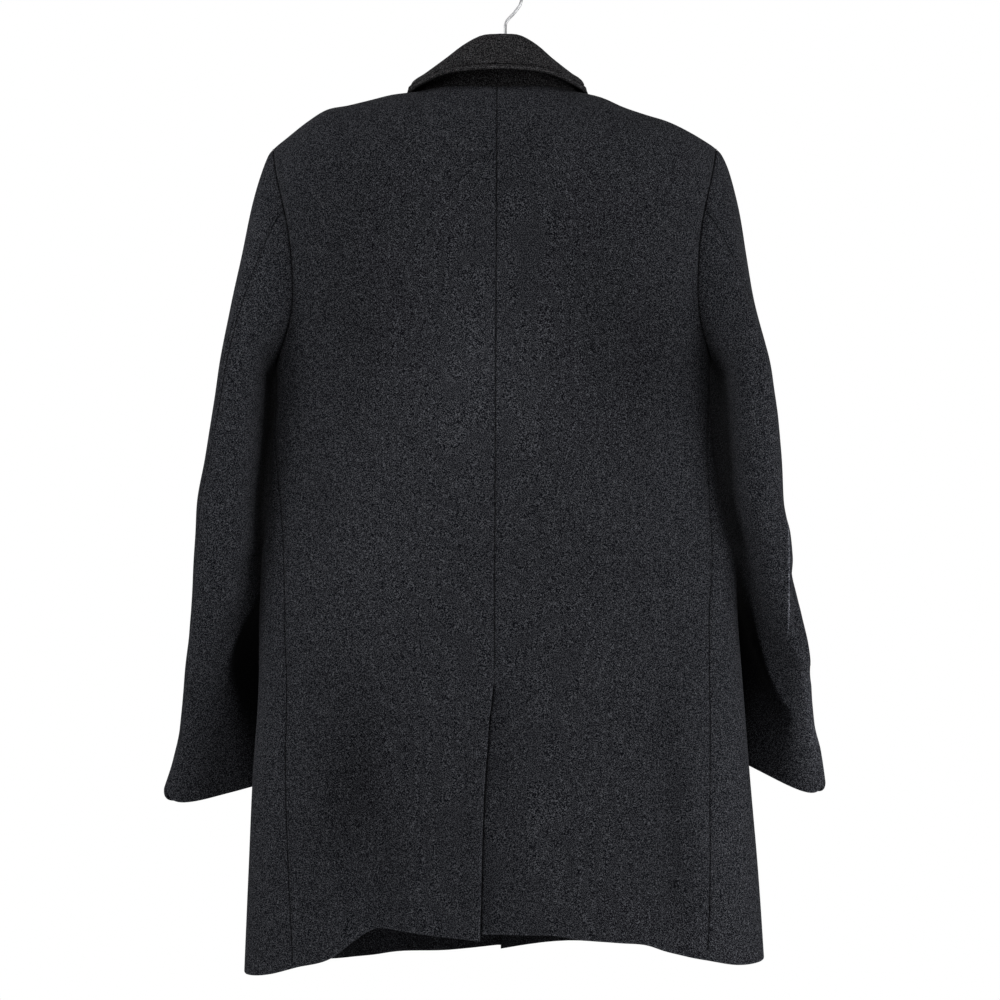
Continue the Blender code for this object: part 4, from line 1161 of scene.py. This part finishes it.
def add_hanger_body():
    """Ovals along the arm. Near each end they close like the end of an ellipse."""
    straight = HANGER_REACH - 0.004
    tip = np.array([0.002, 0.0035, 0.004])
    reach = np.linspace(-1, 1, 121) * straight
    reach = np.concatenate([-HANGER_REACH + 0.004 - tip[::-1], reach, straight + tip])
    closing = np.sqrt(1 - np.clip((np.abs(reach) - HANGER_REACH + 0.0040) / 0.00405, 0, 1) ** 2)
    across = HOOK_ACROSS + reach
    step = 0.002
    ridge, beyond = (
        np.where(across > 0, ridge_drop(LEFT, distance), ridge_drop(RIGHT, distance))
        for distance in (np.abs(across), np.abs(across) + step)
    )
    shoulder = -ridge - (CLOTH + HANGER_CLEARANCE) * np.hypot(1, (beyond - ridge) / step)
    hump = HANGER_HUMP - HANGER_HUMP_FALL * reach**2
    top = (hump + shoulder + np.hypot(hump - shoulder, 0.003)) / 2 - 0.0003
    height = lookup(HANGER, "reach", "height", np.abs(reach))
    thick = lookup(HANGER, "reach", "thickness", np.abs(reach))
    turns = np.linspace(0, math.tau, HANGER_SIDES, endpoint=False)[None, :]
    rise = (top - height / 2)[:, None] + np.sin(turns) * (closing * height)[:, None] / 2
    fore = np.cos(turns) * (closing * thick)[:, None] / 2
    return add_tubes("hanger_arm", [closed_rings(place(across[:, None], fore, -rise))])


def hook_path():
    """Middle line of the hook: the stem up to its bend, then most of a circle."""
    rise = np.linspace(HOOK_STEM["rise"][0] - 0.004, HOOK_STEM["rise"][-1], 60)
    stem = np.stack([lookup(HOOK_STEM, "rise", "across", rise), rise], axis=-1)
    turns = np.radians(np.arange(-42, 181, 3))
    rise = HOOK_CENTRE_RISE + HOOK_RADIUS * np.sin(turns)
    path = np.concatenate([stem, np.stack([-HOOK_RADIUS * np.cos(turns), rise], axis=-1)])
    return place(HOOK_ACROSS + path[:, 0], 0.0, -path[:, 1])


pieces["hanger_body"] = add_hanger_body()
wire = tube(hook_path(), HOOK_WIRE_RADIUS, 24, np.array([0.0, 1.0, 0.0]))
pieces["hanger_hook"] = add_tubes("hanger_wire", [wire])
print("an arm", 2 * HANGER_REACH, "m long and a hook", 2 * HOOK_RADIUS, "m across")

# %% [markdown]
# Materials. Every finish here is worked out from noise and from numbers that the meshes carry, so
# it has no picture to stretch or tile. Nodes could be added one by one, but sums on shader
# sockets are easier to follow when they are written as sums, through one small class.


# %% Shader tools
class Number:
    """A number socket of a material, so that sums of them read like sums."""

    def __init__(self, finish, socket):
        self.finish, self.socket = finish, socket

    def join(self, operation, first, second):
        made = self.finish.node("ShaderNodeMath", {"operation": operation}, {0: first, 1: second})
        return Number(self.finish, made.outputs[0])

    def __add__(self, other):
        return self.join("ADD", self, other)

    __radd__ = __add__

    def __mul__(self, other):
        return self.join("MULTIPLY", self, other)

    __rmul__ = __mul__

    def __sub__(self, other):
        return self.join("SUBTRACT", self, other)

    def __rsub__(self, other):
        return self.join("SUBTRACT", other, self)

    def __truediv__(self, other):
        return self.join("DIVIDE", self, other)

    def __rtruediv__(self, other):
        return self.join("DIVIDE", other, self)

    def bell(self, middle, width):
        """1 at the middle, and falling away from it: exp(-((x - middle) / width)^2)."""
        away = (self - middle) / width
        return self.join("POWER", math.e, 0 - away * away)

    def step(self, start, end):
        """0 before the start, 1 past the end, smooth between them."""
        inputs = {"Value": self, "From Min": start, "From Max": end}
        made = self.finish.node("ShaderNodeMapRange", {"interpolation_type": "SMOOTHSTEP"}, inputs)
        return Number(self.finish, made.outputs["Result"])


# %% A material and its nodes
class Finish:
    """One material, with a method that adds any node to it."""

    def __init__(self, name):
        self.material = bpy.data.materials.new(name)
        self.material.use_nodes = True
        self.tree = self.material.node_tree
        self.shader = self.tree.nodes["Principled BSDF"]

    def feed(self, socket, value):
        """Links a socket or a number to an input, or sets the input's own value."""
        if isinstance(value, Number):
            value = value.socket
        if isinstance(value, bpy.types.NodeSocket):
            self.tree.links.new(value, socket)
        else:
            socket.default_value = value

    def node(self, kind, settings=None, inputs=None):
        """A node of this type, with its settings made before its inputs."""
        made = self.tree.nodes.new(kind)
        for name, value in (settings or {}).items():
            setattr(made, name, value)
        for name, value in (inputs or {}).items():
            self.feed(made.inputs[name], value)
        return made

    def where(self):
        """The place on the coat, in metres."""
        return self.node("ShaderNodeTexCoord").outputs["Object"]

    def colour(self, value):
        """A colour that varies over the surface."""
        self.feed(self.shader.inputs["Base Color"], value)

    def noise(self, where, scale, detail=2.0, roughness=0.5):
        """Smooth noise at this many features in a metre."""
        inputs = {"Vector": where, "Scale": scale, "Detail": detail, "Roughness": roughness}
        made = self.node("ShaderNodeTexNoise", {}, inputs)
        return Number(self, made.outputs["Fac"])

    def value(self, name):
        """A number that the mesh carries for each of its points."""
        made = self.node("ShaderNodeAttribute", {"attribute_name": name})
        return Number(self, made.outputs["Fac"])

    def blend(self, share, first, second):
        """A colour between two others."""
        made = self.node("ShaderNodeMix", {"data_type": "RGBA"}, {0: share, 6: first, 7: second})
        return made.outputs[2]

    def bump(self, height, distance, strength=1.0):
        """A small relief on the surface, as high as this in metres."""
        inputs = {"Height": height, "Distance": distance, "Strength": strength}
        self.feed(self.shader.inputs["Normal"], self.node("ShaderNodeBump", {}, inputs).outputs[0])

    def constants(self, **values):
        """Plain numbers and colours on the shader's own sockets."""
        for name, value in values.items():
            socket = name.replace("_", " ").title().replace("Ior", "IOR")
            self.shader.inputs[socket].default_value = value


# %% [markdown]
# The wool is a felted melange: black, grey and a little blue fibre spun together, so from close
# by it is a fine speckle and from far off one charcoal tone. A weave could be drawn, but felting
# hides it. So the colour is a dark and a light fibre mixed by sharp fine noise, with rare pale
# specks and a broad, faint mottling where the nap lies one way or another. Seams, the collar's
# stitch line and the elbow seams are darker, as painted shade in their grooves, the vent's
# under-flap has a painted shadow beside the over-flap's edge, and the cloth just inside each
# turned edge is lighter. The bump is the felt: fibres that stand up a tenth of a millimetre.

# %% Wool
DARK_FIBRE = (0.0040, 0.0042, 0.0058, 1)
LIGHT_FIBRE = (0.1035, 0.1070, 0.1205, 1)
PALE_FIBRE = (0.150, 0.155, 0.165, 1)


def wool(name, dark, light, stitched=0.0, line=None, folded=False):
    """Charcoal melange wool with a felted face.

    stitched is 1 where a row of stitches sinks in along the free edges, and darkens its groove
    as painted shade. line is one more line of painted shade on the piece, as its strength, its
    middle and its width. folded adds painted shade in the sleeves' forearm folds and a painted
    highlight on the right sleeve's long fold.
    """
    finish = Finish(name)
    where = finish.where()
    fine = finish.noise(where, 1250, 0.0)
    clump = finish.noise(where, 400, 2.0, 0.6)
    speck = finish.noise(where, 700, 0.0)
    broad = finish.noise(where, 9, 3.0, 0.55)
    share = (fine * 0.86 + clump * 0.14).step(0.44, 0.77)
    colour = finish.blend(share, dark, light)
    colour = finish.blend(speck.step(0.72, 0.82) * 0.6, colour, PALE_FIBRE)
    stitches = finish.value("from_edge").bell(STITCH_INSET, 0.0009) * stitched
    # painted shade: darker in the seam grooves and along the stitch line
    painted_shade_and_light = (1 - finish.value("from_seam").bell(0.0, 0.0010) * 0.55) * (1 - stitches * 0.45)
    # lighter just inside each turned edge
    painted_shade_and_light = painted_shade_and_light * (1 + finish.value("from_edge").bell(0.0014, 0.0010) * 0.30)
    if folded:
        # painted shade inside the forearm folds, and a painted highlight on the long fold's lit edge
        painted_shade_and_light = painted_shade_and_light * (1 - finish.value("in_fold").step(-0.5, 0.5) * finish.value("fold_depth"))
        painted_shade_and_light = painted_shade_and_light * (1 + finish.value("from_fold").bell(0.0, 0.0008) * finish.value("fold_light"))
    if line is not None:
        # a line of painted shade: a painted shadow beside the vent flap's edge, or along the elbow seam
        painted_shade_and_light = painted_shade_and_light * (1 - finish.value("from_shade_line").bell(line[1], line[2]) * line[0])
    # painted light and shade by place on the coat, with a broad random mottling added
    tone_with_painted_shading = (finish.value("tone_with_painted_shading") + (broad - 0.5) * 0.22) * painted_shade_and_light
    tone = finish.node("ShaderNodeVectorMath", {"operation": "SCALE"}, {0: colour, "Scale": tone_with_painted_shading})
    finish.colour(tone.outputs[0])
    felt = finish.noise(where, 1300, 2.0, 0.6) * 0.5 + fine * 0.5
    finish.bump(felt - stitches * 0.8, 0.00022, 1.0)
    finish.constants(roughness=1.0, specular_ior_level=0.02, sheen_weight=0.012, sheen_roughness=0.5)
    return finish.material


charcoal_wool = wool("charcoal_wool", DARK_FIBRE, LIGHT_FIBRE)
# the vent's wool has a painted shadow on the under-flap beside the over-flap's edge
vent_shadow_wool = wool("vent_shadow_wool", DARK_FIBRE, LIGHT_FIBRE, line=(0.8, 0.0007, 0.0019))
# the sleeves' wool has a line of painted shade along the elbow seam
sleeve_wool = wool("sleeve_wool", DARK_FIBRE, LIGHT_FIBRE, line=(0.45, 0.0, 0.0009), folded=True)
# the collar's stitch groove is darkened as painted shade
collar_wool = wool("collar_wool", (0.0042, 0.0041, 0.0048, 1), (0.0960, 0.0935, 0.0960, 1), stitched=1.0)
print("four wools, the plain one with", len(charcoal_wool.node_tree.nodes), "nodes")

# %% [markdown]
# The small parts: dark horn with brown clouds, beech with long pores along the arm under a thin
# varnish, plain steel wire, dark button thread and pale tacking thread. Photographed wood or horn
# could be wrapped round them. Stretched noise is enough for parts this small, and has no seam.


# %% Horn, beech, steel and thread
def horn():
    """Dark horn: brown clouds in black, polished by handling."""
    finish = Finish("dark_horn")
    where = finish.where()
    stretched = finish.node("ShaderNodeMapping", {}, {"Vector": where, "Scale": (1.0, 1.0, 2.6)})
    clouds = finish.noise(stretched.outputs[0], 130, 4.0, 0.6).step(0.42, 0.72)
    colour = finish.blend(clouds, (0.010, 0.009, 0.008, 1), (0.062, 0.040, 0.024, 1))
    finish.colour(colour)
    finish.constants(roughness=0.28, coat_weight=0.25)
    return finish.material


def beech():
    """Varnished beech: pale wood with short darker pores along the arm."""
    finish = Finish("beech")
    where = finish.where()
    grain = finish.node("ShaderNodeMapping", {}, {"Vector": where, "Scale": (0.05, 1.0, 1.0)})
    rings = finish.noise(grain.outputs[0], 120, 3.0, 0.6)
    pores = finish.noise(grain.outputs[0], 900, 1.0, 0.5).step(0.60, 0.72)
    colour = finish.blend(rings, (0.52, 0.33, 0.18, 1), (0.38, 0.22, 0.11, 1))
    colour = finish.blend(pores * 0.5, colour, (0.22, 0.12, 0.06, 1))
    finish.colour(colour)
    finish.bump(0 - pores, 0.00008, 0.6)
    finish.constants(roughness=0.38, coat_weight=0.4, coat_roughness=0.2)
    return finish.material


def steel():
    """Bright drawn wire with faint streaks of wear."""
    finish = Finish("steel_wire")
    where = finish.where()
    wear = finish.noise(where, 300, 3.0, 0.6)
    finish.feed(finish.shader.inputs["Roughness"], 0.26 + wear * 0.16)
    finish.constants(base_color=(0.50, 0.50, 0.51, 1), metallic=1.0)
    return finish.material


def thread(name, colour):
    """Twisted sewing thread."""
    finish = Finish(name)
    where = finish.where()
    twist = finish.noise(where, 2600, 1.0, 0.5)
    finish.bump(twist, 0.0002, 0.8)
    finish.constants(base_color=colour, roughness=0.75, sheen_weight=0.2)
    return finish.material


dark_horn, beech_wood, steel_wire = horn(), beech(), steel()
dark_thread = thread("dark_thread", (0.012, 0.012, 0.014, 1))
pale_thread = thread("pale_thread", (0.36, 0.36, 0.38, 1))
print("finishes for the small parts:", dark_horn.name, beech_wood.name, steel_wire.name)

# %% [markdown]
# The painted shading is a broad tone over the cloth that stands for how the light falls on it:
# painted light where the coat should look lit, painted shade where it should look shaded, and
# painted shade inside the coat. Each forearm turns in below the elbow with painted shade on its
# inner side, and the right sleeve has one long fold with a painted highlight on its lit edge.
# All this could be painted by hand. It is worked out from the place on the coat and kept on the
# mesh, as numbers for each point, so it holds from every side.

# %% Painted light and shade
# across, drop, spread across, spread down, and how much the cloth is lightened as painted light or darkened
# as painted shade there
PAINTED_SHADING = (
    (0.020, 0.310, 0.060, 0.085, 0.22),
    (0.000, 0.080, 0.050, 0.060, -0.15),
    (0.120, 0.480, 0.060, 0.080, 0.12),
    (0.130, 0.150, 0.090, 0.130, -0.20),
    (-0.110, 0.150, 0.090, 0.130, -0.18),
    (-0.150, 0.290, 0.060, 0.080, -0.26),
    (0.160, 0.270, 0.050, 0.080, -0.12),
    (0.150, 0.740, 0.040, 0.100, -0.36),
    (0.060, 0.780, 0.040, 0.110, -0.08),
    (-0.185, 0.760, 0.020, 0.120, -0.16),
    (0.240, 0.780, 0.024, 0.160, 0.06),
    (-0.245, 0.780, 0.030, 0.160, 0.22),
    (0.330, 0.690, 0.030, 0.070, -0.10),
    (-0.336, 0.690, 0.020, 0.070, 0.85),
    (-0.300, 0.360, 0.030, 0.120, 0.10),
    (0.243, 0.360, 0.008, 0.075, -0.60),
    (0.258, 0.160, 0.025, 0.060, 0.12),
)
# painted shade: how much darker the inner side of the body's cloth is
INSIDE_SHADE = 0.45


def mesh_points(made):
    """The mesh's points as one array."""
    found = np.empty(len(made.data.vertices) * 3, np.float32)
    made.data.vertices.foreach_get("co", found)
    return found.reshape(-1, 3)


def painted_shading_tone(points):
    """1 plus one bell curve for each listed place: painted light where it is above 0, painted shade where
    below.
    """
    across, drop = points[:, 0] + ORIGIN[0], -(points[:, 2] + ORIGIN[2])
    tone = np.ones(len(points))
    for middle, height, wide, tall, change in PAINTED_SHADING:
        tone += change * np.exp(-(((across - middle) / wide) ** 2) - ((drop - height) / tall) ** 2)
    return tone


# the number of places with painted light and shade
print(len(PAINTED_SHADING), "places where the nap lies another way")

# %% Painted shade and highlight on the sleeves' folds
# Where each sleeve folds in below the elbow, how much painted shade darkens its inner side, and
# over what width the change is spread: a sharp edge down to the fold's corner, and a soft one below it
FOREARM_FOLD_SHADE = table(
    "drop left left_depth left_soft right right_depth right_soft",
    (0.460, 0.2440, 0.00, 0.005, 0.2500, 0.00, 0.005),
    (0.510, 0.2520, 0.20, 0.005, 0.2640, 0.30, 0.005),
    (0.540, 0.2590, 0.60, 0.005, 0.2720, 0.70, 0.005),
    (0.587, 0.2805, 0.93, 0.005, 0.2836, 0.93, 0.005),
    (0.605, 0.2865, 0.94, 0.008, 0.2885, 0.92, 0.005),
    (0.625, 0.2895, 0.94, 0.013, 0.2940, 0.90, 0.005),
    (0.651, 0.2885, 0.93, 0.020, 0.3065, 0.78, 0.005),
    (0.674, 0.2855, 0.88, 0.026, 0.3200, 0.62, 0.007),
    (0.694, 0.2835, 0.78, 0.031, 0.3190, 0.50, 0.018),
    (0.726, 0.2790, 0.52, 0.034, 0.3160, 0.38, 0.024),
    (0.760, 0.2750, 0.28, 0.036, 0.3150, 0.30, 0.026),
)
# The lit edge of the long fold down the outside of the right sleeve, and how much lighter it is
LONG_FOLD = table(
    "drop right light",
    (0.444, 0.3070, 0.0),
    (0.464, 0.3073, 1.8),
    (0.502, 0.3080, 2.2),
    (0.572, 0.3090, 1.9),
    (0.588, 0.3092, 0.0),
)


def add_sleeve_fold_shading(made, side):
    """How far each point lies in the sleeve's two folds, and their painted shade and painted highlight
    behind.
    """
    points = mesh_points(made)
    across, drop = side * (points[:, 0] + ORIGIN[0]), -(points[:, 2] + ORIGIN[2])
    columns = (SIDE_NAMES[side] + ending for ending in ("", "_depth", "_soft"))
    fold, depth, soft = (lookup(FOREARM_FOLD_SHADE, "drop", column, drop) for column in columns)
    facing = np.empty(len(points) * 3, np.float32)
    made.data.vertices.foreach_get("normal", facing)
    behind_share = ease(facing[1::3], -0.15, 0.20)
    light = lookup(LONG_FOLD, "drop", "light", drop) * (side == RIGHT)
    add_values(made, "in_fold", (fold - across) / soft)
    add_values(made, "fold_depth", depth * behind_share)
    add_values(made, "from_fold", across - lookup(LONG_FOLD, "drop", "right", drop))
    add_values(made, "fold_light", light * behind_share)


# %% [markdown]
# Dressing: each piece takes its finish, stands for its own solid and rides with the coat. It
# could be said where each piece is made, but here it is one list that can be checked at a glance.

# %% Dress the coat
# how a piece's name starts, its finish and the slot of the record that it stands for
FINISHES = (
    ("collar", collar_wool, "charcoal_wool"),
    ("sleeve", sleeve_wool, "charcoal_wool"),
    ("back_right", vent_shadow_wool, "charcoal_wool"),
    ("back_left", charcoal_wool, "charcoal_wool"),
    ("front", charcoal_wool, "charcoal_wool"),
    ("button", dark_horn, "dark_horn"),
    ("hanger_body", beech_wood, "beech"),
    ("hanger_hook", steel_wire, "steel_wire"),
)
for name, made in pieces.items():
    if name in sizes:
        # painted light and shade by place on the coat
        tone = painted_shading_tone(mesh_points(made))
        if name.startswith("sleeve"):
            add_sleeve_fold_shading(made, LEFT if name.endswith("left") else RIGHT)
        else:
            # the inner side of the body's cloth is darkened as painted shade
            tone[len(tone) // 2 :] *= INSIDE_SHADE
        add_values(made, "tone_with_painted_shading", tone)
    material, slot = next(row[1:] for row in FINISHES if name.startswith(row[0]))
    made.data.materials.append(material)
    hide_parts(name)
    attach(made, "root")
for name, made in trims.items():
    made.data.materials.append(pale_thread if name == "tacking_thread" else dark_thread)
    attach(made, "root")
print(len(pieces), "pieces and", len(trims), "trims ride with the coat")

# %% [markdown]
# The room: a pale floor far below, as if the coat hung from a rail, an even white light all
# round, and large soft lamps. A white wall would throw its light on the dark wool. So the room's
# light is weak, and only what is seen past the coat is pure white.

# %% Floor
floor_mesh = bpy.data.meshes.new("floor")
reach, level = 2.4, -1.75
floor_corners = [(reach * x, reach * y, level) for x, y in ((-1, -1), (1, -1), (1, 1), (-1, 1))]
floor_mesh.from_pydata(floor_corners, [], [(0, 1, 2, 3)])
floor = add_object("floor", floor_mesh)
pale = Finish("pale_floor")
pale.constants(base_color=(0.80, 0.80, 0.80, 1), roughness=0.9)
floor_mesh.materials.append(pale.material)
print("floor", -level, "m below the rail")

# %% Room light
AMBIENT, BACKDROP = 0.115, 1.0
world = bpy.data.worlds.new("even_light")
world.use_nodes = True
nodes, links = world.node_tree.nodes, world.node_tree.links
room_light = nodes["Background"]
room_light.inputs["Color"].default_value = (1.0, 1.0, 1.0, 1.0)
room_light.inputs["Strength"].default_value = AMBIENT
backdrop = nodes.new("ShaderNodeBackground")
backdrop.inputs["Color"].default_value = (1.0, 1.0, 1.0, 1.0)
backdrop.inputs["Strength"].default_value = BACKDROP
seen = nodes.new("ShaderNodeLightPath")
chosen = nodes.new("ShaderNodeMixShader")
links.new(seen.outputs["Is Camera Ray"], chosen.inputs[0])
links.new(room_light.outputs[0], chosen.inputs[1])
links.new(backdrop.outputs[0], chosen.inputs[2])
links.new(chosen.outputs[0], nodes["World Output"].inputs["Surface"])
bpy.context.scene.world = world
bpy.context.scene.view_settings.view_transform = "Standard"
print("room light", AMBIENT, "and backdrop", BACKDROP)

# %% Lamps
# name, place, side in metres and power in watts
LAMPS = (
    ("high_lamp", (0.3, 1.9, 1.3), 1.3, 24),
    ("left_lamp", (2.3, 1.0, 0.1), 1.2, 26),
    ("right_lamp", (-2.4, 1.2, -0.75), 1.4, 41),
    ("front_left_lamp", (1.6, -2.2, 1.4), 1.5, 15),
    ("front_right_lamp", (-1.9, -2.2, 1.1), 1.5, 15),
)
COAT_MIDDLE = Vector((0.0, 0.0, -0.55))
for name, where, side_length, power in LAMPS:
    data = bpy.data.lights.new(name, "AREA")
    data.energy, data.size = power, side_length
    lamp = add_object(name, data)
    lamp.location = where
    lamp.rotation_euler = (COAT_MIDDLE - Vector(where)).to_track_quat("-Z", "Y").to_euler()
print(len(LAMPS), "lamps with", sum(row[3] for row in LAMPS), "watts")

# %% [markdown]
# The camera stands behind the coat, level with its middle, a little over two metres away, with
# a lens that takes in 1.05 m at the back's distance. Aiming it by a constraint would do too, but
# a level camera needs only its place and two right angles.

# %% Camera
CAMERA_PLACE = (0.00585, 2.2, -0.5604)
HALF_VIEW, VIEW_DISTANCE = 0.525, 2.13
camera_data = bpy.data.cameras.new("camera")
camera_data.angle = 2 * math.atan(HALF_VIEW / VIEW_DISTANCE)
camera = add_object("camera", camera_data)
camera.location = CAMERA_PLACE
camera.rotation_euler = (math.pi / 2, 0, math.pi)
bpy.context.scene.camera = camera
print("view angle", round(math.degrees(camera_data.angle), 2), "degrees")
